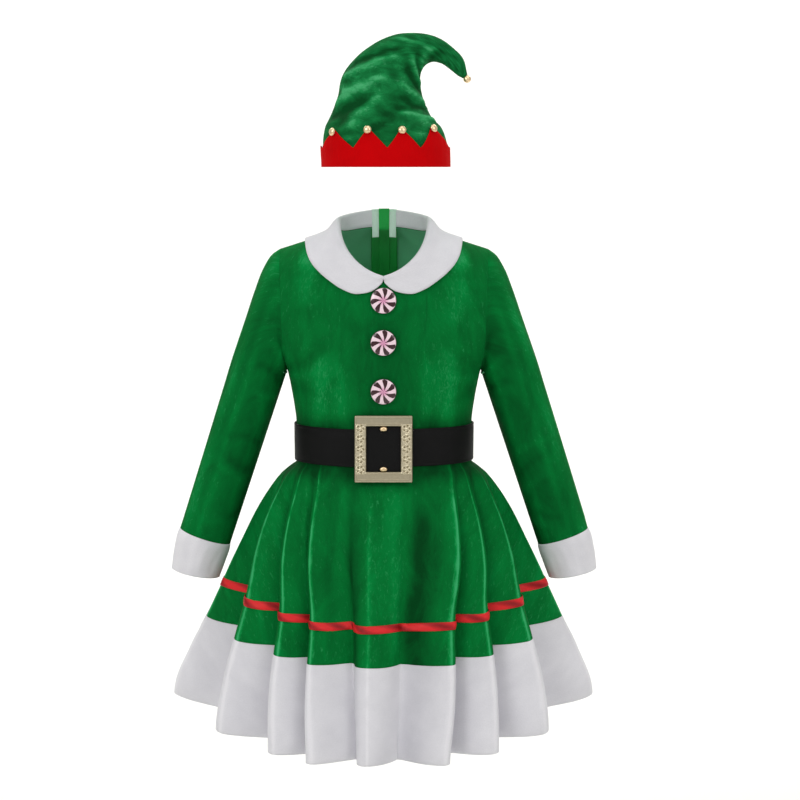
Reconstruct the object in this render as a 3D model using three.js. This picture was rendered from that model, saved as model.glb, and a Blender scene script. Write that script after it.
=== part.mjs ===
import * as THREE from "three";

// A child's elf costume: a long-sleeved velvet dress with a full skirt and a belt, and its pointed hat.
// Millimetres, +Z up, the front faces -Y. The origin lies level with the shoulders that carry the dress.

// Cloth and gaps
const seamGap = 0.3;
const velvetWall = 1.5;
const whiteWall = 2;
const beltWall = 2.5;
const ribbonWall = 1;

// Dress heights
const waistZ = -300;
const beltTopZ = -262;
const beltBottomZ = -312;
const armpitZ = -190;
const shoulderTipZ = -26;

// Neck and shoulders
const neckHalf = 58.8;
const neckFrontDrop = 64;
const neckPoint = 0.25;
const neckBackDrop = 12;
const neckBackLift = 15;
const shoulderHalf = 140;
const shoulderRound = 75;
const backOpening = 0.4;

const green = { color: 0x0a6a35, roughness: 0.8, metalness: 0 };
const white = { color: 0xe2e2e5, roughness: 0.9, metalness: 0 };
const red = { color: 0xc2141c, roughness: 0.45, metalness: 0 };
const black = { color: 0x131313, roughness: 0.55, metalness: 0 };
const champagne = { color: 0xc2b48e, roughness: 0.35, metalness: 0.9 };
const gold = { color: 0xd8b56a, roughness: 0.3, metalness: 0.9 };

const costume = new THREE.Group();

function add(name, geometry, finish) {
  const mesh = new THREE.Mesh(geometry, new THREE.MeshStandardMaterial(finish));
  mesh.name = name;
  costume.add(mesh);
  return mesh;
}

// Reads one column of a table whose rows rise in the key column, on a smooth curve through its rows.
function read(table, key, at, column) {
  const last = table.length - 1;
  if (at <= table[0][key]) return table[0][column];
  if (at >= table[last][key]) return table[last][column];
  let i = 0;
  while (at > table[i + 1][key]) i += 1;
  const slope = (j) => {
    if (j === 0 || j === last) return 0;
    const before = (table[j][column] - table[j - 1][column]) / (table[j][key] - table[j - 1][key]);
    const after = (table[j + 1][column] - table[j][column]) / (table[j + 1][key] - table[j][key]);
    return before * after > 0 ? (2 * before * after) / (before + after) : 0;
  };
  const span = table[i + 1][key] - table[i][key];
  const t = (at - table[i][key]) / span;
  const low = table[i][column];
  const high = table[i + 1][column];
  return (
    low * (1 + 2 * t) * (1 - t) ** 2 +
    high * (3 - 2 * t) * t * t +
    slope(i) * span * t * (1 - t) ** 2 -
    slope(i + 1) * span * t * t * (1 - t)
  );
}

const steps = (from, to, count) => Array.from({ length: count + 1 }, (_, i) => from + ((to - from) * i) / count);
const mix = (a, b, t) => a + (b - a) * t;
const point = (x, y, z) => new THREE.Vector3(x, y, z);

// The direction out of the cloth at each point of a grid. Seen from outside, a row runs to the right
// and the next row lies above it. Where `seams` names a plane, the edge's wall lies in that plane.
function outward(rows, closed, seams) {
  const last = rows[0].length - 1;
  return rows.map((row, j) =>
    row.map((p, i) => {
      const left = closed ? row[(i + last) % (last + 1)] : row[Math.max(i - 1, 0)];
      const right = closed ? row[(i + 1) % (last + 1)] : row[Math.min(i + 1, last)];
      const below = rows[Math.max(j - 1, 0)][i];
      const above = rows[Math.min(j + 1, rows.length - 1)][i];
      const along = right.clone().sub(left);
      const normal = along.cross(above.clone().sub(below)).normalize();
      const planes = [];
      if (j === 0 && seams.bottom) planes.push(seams.bottom);
      if (j === rows.length - 1 && seams.top) planes.push(seams.top);
      if (!closed && i === 0 && seams.left) planes.push(seams.left);
      if (!closed && i === last && seams.right) planes.push(seams.right);
      for (const plane of planes) normal.projectOnPlane(plane).normalize();
      return normal;
    }),
  );
}

// Moves every point of a grid along the cloth's outward direction.
function movedOut(rows, distance, { closed = false, seams = {} } = {}) {
  const normals = outward(rows, closed, seams);
  return rows.map((row, j) => row.map((p, i) => p.clone().addScaledVector(normals[j][i], distance)));
}

// A wall of cloth: the grid is its outer face, and its inner face lies one wall behind it.
function cloth(rows, wall, { closed = false, seams = {} } = {}) {
  const inner = movedOut(rows, -wall, { closed, seams });
  return slab(rows, inner, closed);
}

// A closed solid between two grids of the same size.
function slab(outer, inner, closed) {
  const height = outer.length;
  const width = outer[0].length;
  const positions = [];
  for (const grid of [outer, inner]) for (const row of grid) for (const p of row) positions.push(p.x, p.y, p.z);
  const index = [];
  const out = (j, i) => j * width + (i % width);
  const back = (j, i) => height * width + out(j, i);
  const quad = (a, b, c, d) => index.push(a, b, c, a, c, d);
  const across = closed ? width : width - 1;
  for (let j = 0; j < height - 1; j += 1) {
    for (let i = 0; i < across; i += 1) {
      quad(out(j, i), out(j, i + 1), out(j + 1, i + 1), out(j + 1, i));
      quad(back(j, i), back(j + 1, i), back(j + 1, i + 1), back(j, i + 1));
    }
    if (!closed) {
      quad(out(j, 0), out(j + 1, 0), back(j + 1, 0), back(j, 0));
      quad(out(j, across), back(j, across), back(j + 1, across), out(j + 1, across));
    }
  }
  const top = height - 1;
  for (let i = 0; i < across; i += 1) {
    quad(out(0, i), back(0, i), back(0, i + 1), out(0, i + 1));
    quad(out(top, i), out(top, i + 1), back(top, i + 1), back(top, i));
  }
  const geometry = new THREE.BufferGeometry();
  geometry.setAttribute("position", new THREE.Float32BufferAttribute(positions, 3));
  geometry.setIndex(index);
  geometry.computeVertexNormals();
  return geometry;
}

// Torso: half its width, and how far its front and its back stand from the middle, at heights.
// Above the armpit the width runs on past the armholes, which cut it off.
const torso = [
  { z: -330, half: 119, front: 86, back: 78 },
  { z: -262, half: 119.5, front: 86, back: 78 },
  { z: -232, half: 123, front: 88, back: 80 },
  { z: -210, half: 127, front: 90, back: 83 },
  { z: -190, half: 131.5, front: 91, back: 85 },
  { z: -172, half: 143, front: 92, back: 86 },
  { z: -140, half: 160, front: 92, back: 88 },
  { z: -100, half: 166, front: 90, back: 88 },
  { z: -60, half: 166, front: 84, back: 86 },
  { z: 20, half: 166, front: 76, back: 80 },
];

// The armhole's distance from the middle
const armhole = [
  { z: armpitZ, x: 131.5 },
  { z: -150, x: 135.5 },
  { z: -100, x: 137.5 },
  { z: shoulderTipZ, x: shoulderHalf },
];

const sideX = (z) => (z <= armpitZ ? read(torso, "z", z, "half") : read(armhole, "z", z, "x"));

// The shoulder line's height, which stays level across the neck in front and rises a little behind it.
function shoulderZ(x, side) {
  const far = Math.abs(x);
  if (far > neckHalf) return (shoulderTipZ * (far - neckHalf)) / (shoulderHalf - neckHalf);
  return side > 0 ? neckBackLift * (1 - (far / neckHalf) ** 2) : 0;
}

// The torso's outer face at a place seen from the front. side is -1 for the front and 1 for the back.
function torsoPoint(x, z, side) {
  const half = read(torso, "z", z, "half");
  const deep = read(torso, "z", z, side < 0 ? "front" : "back");
  const across = Math.sqrt(Math.max(0, 1 - (x / half) ** 2));
  const rise = Math.max(0, (z - shoulderZ(x, side) + shoulderRound) / shoulderRound);
  const over = Math.sqrt(Math.max(0, 1 - rise * rise));
  return point(x, side * deep * across * over, z);
}

// The neck's edge, round behind and drawn to a slight point in front
const neckZ = (x, side) => {
  const round = Math.sqrt(Math.max(0, 1 - (x / neckHalf) ** 2));
  const pointed = mix(round, Math.max(0, 1 - Math.abs(x) / neckHalf), neckPoint);
  return side < 0 ? -neckFrontDrop * pointed : shoulderZ(x, side) - neckBackDrop * round;
};

// Turns round the neck in degrees, from the middle front over the shoulder to the end of the collar
// behind. Panel columns are shares of the half width: they meet the neck at these turns, and more
// of them stand along the shoulder.
const frontTurns = steps(0, 1, 8).map((t) => 90 * (1 - (1 - t) ** 2));
const backTurns = steps(0, 1, 7).map((t) => 90 + 82.7 * t ** 2);
const neckShare = neckHalf / shoulderHalf;
const shareAt = (turn) => neckShare * Math.sin(THREE.MathUtils.degToRad(turn));
const shoulderShares = steps(0, 90, 5)
  .slice(1)
  .map((a) => mix(neckShare, 1, Math.sin(THREE.MathUtils.degToRad(a))));
const frontShares = [...frontTurns.map(shareAt), ...shoulderShares];
const backShares = [0, ...backTurns.map(shareAt).reverse(), ...shoulderShares];
const bodiceRows = [0, 0.14, 0.32, 0.48, 0.62, 0.75, 0.86, 0.93, 0.975, 1];

// One column from the waist seam up to the neck edge, or to the shoulder line 0.3 mm from the other panel.
function bodiceColumn(share, sign, side) {
  const flat = Math.abs(share) * shoulderHalf;
  const inNeck = flat < neckHalf - 0.01;
  const topZ = inNeck ? neckZ(flat, side) : shoulderZ(flat, side);
  return bodiceRows.map((rise, j) => {
    const z = mix(waistZ, topZ, rise);
    const x = Math.abs(share) * (sideX(z) + (shoulderHalf - sideX(topZ)) * rise);
    const p = torsoPoint(x, Math.min(z, topZ), side);
    if (j === bodiceRows.length - 1 && !inNeck) p.set(flat, 0, topZ);
    if (Math.abs(p.y) < seamGap / 2) p.y = (side * seamGap) / 2;
    p.x = Math.max(p.x, side > 0 ? backOpening / 2 : 0) * sign;
    return p;
  });
}

const gridFrom = (columns) => columns[0].map((_, j) => columns.map((column) => column[j]));
const levelUp = point(0, 0, 1);
const sideways = point(1, 0, 0);
const ahead = point(0, 1, 0);

// A bodice panel. At the side seam, the armhole and the shoulder its wall lies in the seam's own plane.
function bodicePanel(columns) {
  const rows = gridFrom(columns);
  const inner = movedOut(rows, -velvetWall, { seams: { bottom: levelUp } });
  const edge = rows[0].length - 1;
  const top = rows.length - 1;
  inner.forEach((row, j) =>
    row.forEach((p, i) => {
      const outer = rows[j][i];
      const atMiddlePlane = Math.abs(outer.y) < 1;
      const atSide = Math.abs(Math.abs(outer.x) - sideX(outer.z)) < 0.01 && (i === 0 || i === edge);
      if (j === top && atMiddlePlane) p.set(outer.x * 0.998, outer.y, outer.z - velvetWall);
      else if (atSide && atMiddlePlane) p.set(outer.x - Math.sign(outer.x) * velvetWall, outer.y, outer.z);
      else if (atSide && outer.z > armpitZ + 1) {
        p.set(outer.x, outer.y - Math.sign(outer.y) * Math.min(velvetWall, Math.abs(outer.y) / 2), outer.z);
      }
    }),
  );
  return slab(rows, inner, false);
}

const halfFront = (sign) => frontShares.map((share) => bodiceColumn(share, sign, -1));
add("bodice_front", bodicePanel([...halfFront(-1).slice(1).reverse(), ...halfFront(1)]), green);
add("bodice_back_right", bodicePanel([...backShares].reverse().map((s) => bodiceColumn(s, 1, 1))), green);
add("bodice_back_left", bodicePanel(backShares.map((s) => bodiceColumn(s, -1, 1))), green);

// Mirrors a grid to the other side and keeps its outer face outside.
const mirrored = (rows) => rows.map((row) => row.map((p) => point(-p.x, p.y, p.z)).reverse());

// A left and a right piece of cloth from the grid of the right one
function addPair(name, rows, wall, finish, options = {}) {
  const inner = movedOut(rows, -wall, options);
  add(name + "_right", slab(rows, inner, options.closed), finish);
  add(name + "_left", slab(mirrored(rows), mirrored(inner), options.closed), finish);
}

// Sleeves, drawn on the right arm. Each station gives the outer and the under side of the arm and half its depth.
const armTurn = point(0.316, 0, -0.949);
const armOut = point(0.949, 0, 0.316);
const underarm = point(133.4, 0, -196);
const sleeveLength = 245;
const cuffLength = 52;
const cuffSlant = 4;
const cuffNarrow = 6;
const sleeveTopWidth = 76.5;
const wristWidth = 71.5;
const sleeveTopDeep = 38.5;
const wristDeep = 33;
const armForward = 9;
const sleeveSides = 18;
const capStations = [
  { outX: 188, outZ: -120, inX: 133, inZ: -195.2, deep: 41 },
  { outX: 175, outZ: -82, inX: 132.7, inZ: -194, deep: 43 },
  { outX: 163, outZ: -52, inX: 132.4, inZ: -192.8, deep: 45 },
  { outX: 151, outZ: -33.5, inX: 132.1, inZ: -191.5, deep: 47 },
];

// A ring round the arm, a distance below the underarm, grown all round. Its outer side lies lower by twice
// the slant, and is drawn in by the narrowing.
function armRing(distance, grow, slant = 0, narrow = 0) {
  const down = distance / sleeveLength;
  const under = underarm.clone().addScaledVector(armTurn, distance - slant).addScaledVector(armOut, -grow);
  const width = mix(sleeveTopWidth, wristWidth, Math.min(down, 1)) + 2 * grow - narrow;
  const over = under.clone().addScaledVector(armOut, width).addScaledVector(armTurn, 2 * slant);
  return armLoop(under, over, mix(sleeveTopDeep, wristDeep, Math.min(down, 1)) + grow, -armForward * down);
}

function armLoop(under, over, deep, y) {
  return steps(0, 2 * Math.PI, sleeveSides).slice(0, -1).map((a) => {
    const p = under.clone().lerp(over, (1 + Math.cos(a)) / 2);
    return p.setY(y + deep * Math.sin(a));
  });
}

// The sleeve's top edge follows the armhole, one seam gap away.
function armholeLoop() {
  const middle = (armpitZ + shoulderTipZ) / 2;
  const reach = (shoulderTipZ - armpitZ) / 2;
  return steps(0, 2 * Math.PI, sleeveSides).slice(0, -1).map((a) => {
    const z = middle + reach * Math.cos(a);
    const p = torsoPoint(sideX(z), z, Math.sin(a) < 0 ? -1 : 1);
    return p.setX(p.x + seamGap);
  });
}

const sleeveRows = [
  ...[sleeveLength, 195, 140, 85, 35, 0].map((distance) => armRing(distance, 0)),
  ...capStations.map((s) => armLoop(point(s.inX, 0, s.inZ), point(s.outX, 0, s.outZ), s.deep, 0)),
  armholeLoop(),
];
const cuffRows = [
  { distance: sleeveLength + cuffLength, grow: 0.4, slant: cuffSlant, narrow: cuffNarrow },
  { distance: sleeveLength + cuffLength * 0.5, grow: 1.3, slant: cuffSlant * 0.5, narrow: cuffNarrow * 0.3 },
  { distance: sleeveLength + 4, grow: 1.2, slant: 0, narrow: 0 },
  { distance: sleeveLength + seamGap, grow: 0.5, slant: 0, narrow: 0 },
].map((row) => armRing(row.distance, row.grow, row.slant, row.narrow));
addPair("sleeve", sleeveRows, velvetWall, green, { closed: true, seams: { top: sideways, bottom: armTurn } });
addPair("cuff", cuffRows, whiteWall, white, { closed: true, seams: { top: armTurn, bottom: armTurn } });

// Collar, drawn on the right half. Its outer edge as seen from the front, by the turn round the neck.
const collarGap = 1.9;
const neckRound = { wide: 56, front: 83, back: 43 };
const collarFrontEdge = [
  { turn: 0, x: 2, z: -68 },
  { turn: 10, x: 9, z: -74.5 },
  { turn: 20, x: 20, z: -80 },
  { turn: 32, x: 36, z: -82 },
  { turn: 44, x: 54, z: -76 },
  { turn: 55, x: 70, z: -66 },
  { turn: 65, x: 84, z: -55 },
  { turn: 75, x: 95, z: -43 },
  { turn: 83, x: 101, z: -31 },
  { turn: 90, x: 105, z: -15 },
];
const collarBackEdge = [
  { turn: 90, x: 105, z: -15 },
  { turn: 100, x: 102, z: -32 },
  { turn: 115, x: 93, z: -46 },
  { turn: 130, x: 75, z: -54 },
  { turn: 150, x: 48, z: -58 },
  { turn: 166, x: 22, z: -57 },
  { turn: 173, x: 10, z: -50 },
];
// The collar's rows from its outer edge to its fold: the share of the way out, and the rise to the fold
const collarFalls = [
  { share: 1, lift: 0 },
  { share: 0.72, lift: 0 },
  { share: 0.45, lift: 0.06 },
  { share: 0.25, lift: 0.35 },
  { share: 0.14, lift: 0.66 },
];
const collarTurns = [...frontTurns, ...backTurns.slice(1)];
// How high the collar stands over the neck edge
const collarStand = [
  { turn: 0, height: 2.5 },
  { turn: 45, height: 4 },
  { turn: 75, height: 8 },
  { turn: 90, height: 12.5 },
  { turn: 110, height: 17 },
  { turn: 130, height: 19 },
  { turn: 173, height: 20 },
];

function collarColumn(turn) {
  const side = turn <= 90 ? -1 : 1;
  const around = Math.sin(THREE.MathUtils.degToRad(turn));
  const neckX = neckHalf * Math.max(around, 0.004);
  const neck = turn === 90 ? point(neckHalf, 0, 0) : torsoPoint(neckX, neckZ(neckX, side), side);
  const edge = side < 0 ? collarFrontEdge : collarBackEdge;
  const edgeX = read(edge, "turn", turn, "x");
  const edgeZ = read(edge, "turn", turn, "z");
  const deep = side < 0 ? neckRound.front : neckRound.back;
  const out = point(neck.x / neckRound.wide ** 2, neck.y / deep ** 2, 0).normalize();
  const flat = collarFalls.map(({ share }) => {
    if (turn === 90) return point(mix(neckHalf, edgeX, share), 0, shoulderZ(mix(neckHalf, edgeX, share), -1));
    return torsoPoint(mix(neck.x, edgeX, share), mix(neck.z, edgeZ, share), side);
  });
  return { neck, out, flat, stand: read(collarStand, "turn", turn, "height") };
}

function collarRows() {
  const columns = collarTurns.map(collarColumn);
  const flat = collarFalls.map((_, j) => columns.map((column) => column.flat[j]));
  const normals = outward(flat, false, {});
  const falls = collarFalls.map(({ lift }, j) =>
    columns.map(({ stand }, i) => {
      const height = collarGap + whiteWall + lift * (stand + 1);
      return flat[j][i].clone().addScaledVector(normals[j][i], height);
    }),
  );
  const standing = [
    { out: 6.2, up: 1.6 },
    { out: 4, up: 3 },
    { out: 1, up: 2.6 },
    { out: -1, up: 0.6 },
    { out: -velvetWall - 0.2, up: null },
  ];
  const stands = standing.map((step) =>
    columns.map(({ neck, out, stand }) => {
      const up = step.up === null ? 1.5 * seamGap : stand + step.up;
      return neck.clone().addScaledVector(out, step.out).addScaledVector(levelUp, up);
    }),
  );
  return [...falls, ...stands];
}

const collar = collarRows();
collar.forEach((row) => row.forEach((p) => p.setX(Math.max(p.x, 0.3))));
addPair("collar", collar, whiteWall, white, { seams: { top: levelUp, left: sideways, right: sideways } });

// Zip in the centre back: two tapes inside the backs and a guard strip behind them that stands in the collar.
const tapeHalf = 18;
const tapeWall = 1;
const guardHalf = 7.1;
const guardTopZ = 27;
const insideBack = velvetWall + 0.9;

function backStrip(fromX, toX, depth, topDrop) {
  const columns = steps(fromX, toX, 1).map((x) => {
    const topZ = neckZ(Math.abs(x), 1) - topDrop;
    return bodiceRows.map((rise) => torsoPoint(x, mix(waistZ + 2, topZ, rise), 1));
  });
  return movedOut(gridFrom(columns), -depth);
}
const tapeRows = backStrip(tapeHalf, 0.8, insideBack, 0.5);
addPair("zip_tape", tapeRows, tapeWall, green);
const guardRows = backStrip(guardHalf, -guardHalf, insideBack + tapeWall + 0.4, 0.5);
const guardEdge = guardRows[guardRows.length - 1];
guardRows.push(guardEdge.map((p) => point(p.x, p.y - 0.5, guardTopZ)));
add("zip_guard", cloth(guardRows, velvetWall), green);

// The zip's slider and pull lie on the slope of the upper back, turned to it.
const sliderZ = -5;
const pullSlope = THREE.MathUtils.degToRad(44);
const onSlope = (z, away) => {
  const p = torsoPoint(0, sliderZ, 1);
  const down = z - sliderZ;
  return p.set(0, p.y - down * Math.tan(pullSlope) + away * Math.cos(pullSlope), z + away * Math.sin(pullSlope));
};

function plate(outline, thick, holes = []) {
  const shape = new THREE.Shape(outline);
  for (const hole of holes) shape.holes.push(new THREE.Path(hole));
  return new THREE.ExtrudeGeometry(shape, { depth: thick, bevelEnabled: false });
}

const arc = (cx, cy, rx, ry, from, to, count) =>
  steps(THREE.MathUtils.degToRad(from), THREE.MathUtils.degToRad(to), count).map(
    (a) => new THREE.Vector2(cx + rx * Math.cos(a), cy + ry * Math.sin(a)),
  );

const sliderThick = 2.4;
const sliderStandOff = 0.5;
const pullThick = 1.2;
const pullLength = 20;
const pullGap = 0.4;
const pullDrop = 2.4;
const pullLean = THREE.MathUtils.degToRad(6);
// A plate drawn in X and in its own height is laid on the slope, its thickness facing away from the cloth,
// and leans towards the cloth about its own X axis.
function layOnSlope(geometry, z, away, lean = 0) {
  const at = onSlope(z, away);
  return geometry.rotateX(Math.PI / 2).rotateZ(Math.PI).rotateX(pullSlope - lean).translate(at.x, at.y, at.z);
}
const sliderOutline = [...arc(0, 1.5, 2.8, 2.5, 0, 180, 6), new THREE.Vector2(-1.8, -4.5), new THREE.Vector2(1.8, -4.5)];
add("zip_slider", layOnSlope(plate(sliderOutline, sliderThick), sliderZ, sliderStandOff), gold);
// The pull swings about its own X axis, in the middle of its thickness, over the slider's face.
const pullOutline = [...arc(0, -pullLength + 3, 3, 3, 180, 360, 8), ...arc(0, -0.6, 1.7, 1.2, 0, 180, 4)];
const pullAway = sliderStandOff + sliderThick + pullGap + pullThick / 2;
const pullPlate = plate(pullOutline, pullThick).translate(0, 0, -pullThick / 2);
add("zip_pull", layOnSlope(pullPlate, sliderZ - pullDrop, pullAway, pullLean), gold);

// Skirt: how far down from the waist seam, how far it stands out at the sides and in front and behind,
// how deep its folds are, how far its sides are lifted, and how far the folds have spread from their tops.
const skirtProfile = [
  { down: 0, side: 0, front: 0, fold: 0, lift: 0, spread: 0 },
  { down: 14, side: 0.1, front: 0.1, fold: 0, lift: 0, spread: 0 },
  { down: 22, side: 8.5, front: 1.5, fold: 0.3, lift: 1, spread: 0.04 },
  { down: 34, side: 20, front: 5, fold: 1, lift: 3, spread: 0.15 },
  { down: 56, side: 32.5, front: 20, fold: 3, lift: 7, spread: 0.32 },
  { down: 95, side: 49.5, front: 46, fold: 6, lift: 15, spread: 0.5 },
  { down: 140, side: 66, front: 72, fold: 9, lift: 23, spread: 0.7 },
  { down: 203, side: 88, front: 100, fold: 13, lift: 35, spread: 1 },
  { down: 250, side: 108, front: 120, fold: 16, lift: 34, spread: 1.1 },
  { down: 300, side: 128, front: 141, fold: 19, lift: 41, spread: 1.2 },
  { down: 366, side: 146, front: 167, fold: 22, lift: 49, spread: 1.35 },
];
const liftPower = 2.5;
const ribbonTop = 203;
const ribbonBottom = 212.5;
const bandTop = 253;
const hemDown = 366;
const ribbonGap = 0.5;

// Fold ridges: the turn from the middle front at the waist and at the ribbon, and how deep each is
// against the others. Most of the front ones start at the hips.
const folds = [
  { top: -103, turn: -103, depth: 0.9 },
  { top: -89, turn: -78, depth: 1 },
  { top: -75, turn: -54.5, depth: 1.05 },
  { top: -61, turn: -37.5, depth: 0.9 },
  { top: -45, turn: -24.5, depth: 1 },
  { top: -8, turn: -5, depth: 0.55 },
  { top: 48, turn: 23.5, depth: 1 },
  { top: 60, turn: 38, depth: 0.9 },
  { top: 76, turn: 54.5, depth: 1.05 },
  { top: 89, turn: 78, depth: 1 },
  { top: 103, turn: 103, depth: 0.9 },
  { top: 124, turn: 124, depth: 1 },
  { top: 143, turn: 143, depth: 0.85 },
  { top: 162, turn: 162, depth: 1 },
  { top: 182, turn: 182, depth: 0.95 },
  { top: 202, turn: 202, depth: 0.85 },
  { top: 221, turn: 221, depth: 1 },
  { top: 238, turn: 238, depth: 0.9 },
];
const foldColumns = 8;
const foldLean = 0.25;
const foldSkew = 0.6;
const skewTurn = 5;

// A point of the skirt, down from the waist, at a share of the way from one ridge to the next.
function skirtPoint(down, ridge, share) {
  const from = folds[ridge];
  const wholeTurn = ridge + 1 < folds.length ? 0 : 360;
  const to = folds[(ridge + 1) % folds.length];
  const spread = read(skirtProfile, "down", down, "spread");
  const start = mix(from.top, from.turn, spread);
  const end = mix(to.top, to.turn, spread) + wholeTurn;
  const turn = THREE.MathUtils.degToRad(mix(start, end, share));
  const sine = Math.sin(turn);
  const cosine = Math.cos(turn);
  const deep = cosine > 0 ? torso[0].front : torso[0].back;
  const waistHalf = read(torso, "z", waistZ, "half");
  const atSide = sine * sine;
  const flare = mix(read(skirtProfile, "down", down, "front"), read(skirtProfile, "down", down, "side"), atSide);
  const fold = read(skirtProfile, "down", down, "fold") * mix(from.depth, to.depth, share);
  const wave = 1 - 2 * (Math.sin(Math.PI * share) ** 2) ** 1.2;
  const outward = THREE.MathUtils.clamp(skewTurn * sine * cosine, -1, 1);
  const slide = foldLean * Math.sin(2 * Math.PI * share) + foldSkew * outward * Math.cos(2 * Math.PI * share);
  const out = point(sine / waistHalf, -cosine / deep, 0).normalize();
  const along = point(-out.y, out.x, 0);
  const z = waistZ - seamGap - down + read(skirtProfile, "down", down, "lift") * Math.abs(sine) ** liftPower;
  return point(waistHalf * sine, -deep * cosine, z)
    .addScaledVector(out, flare + fold * wave)
    .addScaledVector(along, fold * slide);
}

// Columns of the front or the back panel, from one side seam to the other, which lie in valleys.
function skirtRows(downs, firstRidge, ridges) {
  const columns = [];
  for (let k = -foldColumns / 2; k <= (ridges - 0.5) * foldColumns; k += 1) {
    const ridge = (firstRidge + Math.floor(k / foldColumns) + folds.length) % folds.length;
    columns.push({ ridge, share: (((k % foldColumns) + foldColumns) % foldColumns) / foldColumns });
  }
  return downs.map((down) => columns.map(({ ridge, share }) => skirtPoint(down, ridge, share)));
}

// Draws the side edges of a panel back by half a seam gap along each row.
function trimmed(rows) {
  return rows.map((row) => {
    const cut = row.map((p) => p.clone());
    const last = row.length - 1;
    const pull = (p, next) => p.addScaledVector(next.clone().sub(p).normalize(), seamGap / 2);
    pull(cut[0], row[1]);
    pull(cut[last], row[last - 1]);
    return cut;
  });
}

const velvetDowns = [bandTop - seamGap, ribbonBottom, ribbonTop, 160, 112, 66, 34, 14, 0];
const bandDowns = [hemDown, 306, bandTop];
const skirtSeams = { bottom: levelUp, top: levelUp, left: ahead, right: ahead };
const panels = [
  { name: "front", firstRidge: 1, ridges: 9 },
  { name: "back", firstRidge: 10, ridges: 9 },
];
for (const { name, firstRidge, ridges } of panels) {
  const velvet = trimmed(skirtRows(velvetDowns, firstRidge, ridges));
  const band = trimmed(skirtRows(bandDowns, firstRidge, ridges));
  add("skirt_" + name, cloth(velvet, velvetWall, { seams: skirtSeams }), green);
  add("hem_band_" + name, cloth(band, whiteWall, { seams: skirtSeams }), white);
  const under = velvetDowns.indexOf(ribbonBottom);
  const lying = movedOut(velvet, ribbonGap, { seams: skirtSeams }).slice(under, under + 2);
  const facing = movedOut(velvet, ribbonGap + ribbonWall, { seams: skirtSeams }).slice(under, under + 2);
  add("ribbon_" + name, slab(facing, lying, false), red);
}

// Belt, closed round the waist over the seam
const beltGap = 0.6;
const beltSides = 48;
const waistRing = (z, out) =>
  steps(0, 2 * Math.PI, beltSides).slice(0, -1).map((a) => {
    const half = read(torso, "z", z, "half") + out;
    const deep = read(torso, "z", z, Math.cos(a) > 0 ? "front" : "back") + out;
    return point(half * Math.sin(a), -deep * Math.cos(a), z);
  });
const beltRows = steps(beltBottomZ, beltTopZ, 1).map((z) => waistRing(z, beltGap + beltWall));
add("belt", cloth(beltRows, beltWall, { closed: true, seams: { bottom: levelUp, top: levelUp } }), black);

// Buckle, tilted a little with the skirt under its lower bar, over a black backing
const buckleZ = -287;
const buckleHalfWide = 38.5;
const buckleHalfTall = 44.5;
const windowHalfWide = 22.5;
const windowHalfTall = 30;
const buckleThick = 4.5;
const backingThick = 1;
const backingY = -91.6;
const buckleTilt = THREE.MathUtils.degToRad(4);
const rounded = (halfWide, halfTall, radius) => [
  ...arc(halfWide - radius, halfTall - radius, radius, radius, 0, 90, 3),
  ...arc(radius - halfWide, halfTall - radius, radius, radius, 90, 180, 3),
  ...arc(radius - halfWide, radius - halfTall, radius, radius, 180, 270, 3),
  ...arc(halfWide - radius, radius - halfTall, radius, radius, 270, 360, 3),
];
// Stands a plate drawn in X and in its own height on the buckle's plane, some way forward of the backing's back.
const onBuckle = (geometry, forward) =>
  geometry.rotateX(Math.PI / 2).translate(0, -forward, 0).rotateX(-buckleTilt).translate(0, backingY, buckleZ);
add("buckle_backing", onBuckle(plate(rounded(33, 39, 3), backingThick), 0), black);
const frameOutline = rounded(buckleHalfWide, buckleHalfTall, 3);
const frameBack = backingThick + seamGap;
const frame = plate(frameOutline, buckleThick, [rounded(windowHalfWide, windowHalfTall, 1.5).reverse()]);
add("buckle_frame", onBuckle(frame, frameBack), champagne);

// A low dome on a flat back, drawn about Z and turned by its caller
function dome(radius, height, rim, sides, rings) {
  const profile = [new THREE.Vector2(0, 0), new THREE.Vector2(radius, 0), new THREE.Vector2(radius, rim)];
  for (const a of steps(0, 90, rings).slice(1)) {
    const turn = THREE.MathUtils.degToRad(a);
    profile.push(new THREE.Vector2(a === 90 ? 0 : radius * Math.cos(turn), rim + (height - rim) * Math.sin(turn)));
  }
  return new THREE.LatheGeometry(profile, sides).rotateX(Math.PI / 2);
}
// Oval studs on the backing, just inside the window's upper and lower edges
const studHalfWide = 5;
const studHalfTall = 3.2;
const studHeight = 5.4;
const studReach = windowHalfTall - studHalfTall - seamGap;
for (const [name, z] of [["top", studReach], ["bottom", -studReach]]) {
  const stud = dome(studHalfTall, studHeight, studHeight * 0.5, 12, 3);
  const oval = stud.scale(studHalfWide / studHalfTall, 1, 1).translate(0, z, 0);
  add("buckle_stud_" + name, onBuckle(oval, frameBack), gold);
}

// Candy buttons down the middle of the front
const buttonRadius = 17.2;
const buttonHeight = 6;
const buttonRim = 2.6;
const buttons = [
  { name: "top", z: -91 },
  { name: "middle", z: -146 },
  { name: "bottom", z: -210.5 },
];
for (const { name, z } of buttons) {
  const seat = torsoPoint(0, z, -1);
  const above = torsoPoint(0, z + buttonRadius, -1);
  const below = torsoPoint(0, z - buttonRadius, -1);
  const lean = Math.atan2(above.y - below.y, 2 * buttonRadius);
  const button = dome(buttonRadius, buttonHeight, buttonRim, 20, 3).rotateX(Math.PI / 2 - lean);
  const proud = Math.max(-seat.y, -(above.y + below.y) / 2) + 0.5;
  add("candy_button_" + name, button.translate(0, -proud, z), white);
}

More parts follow.
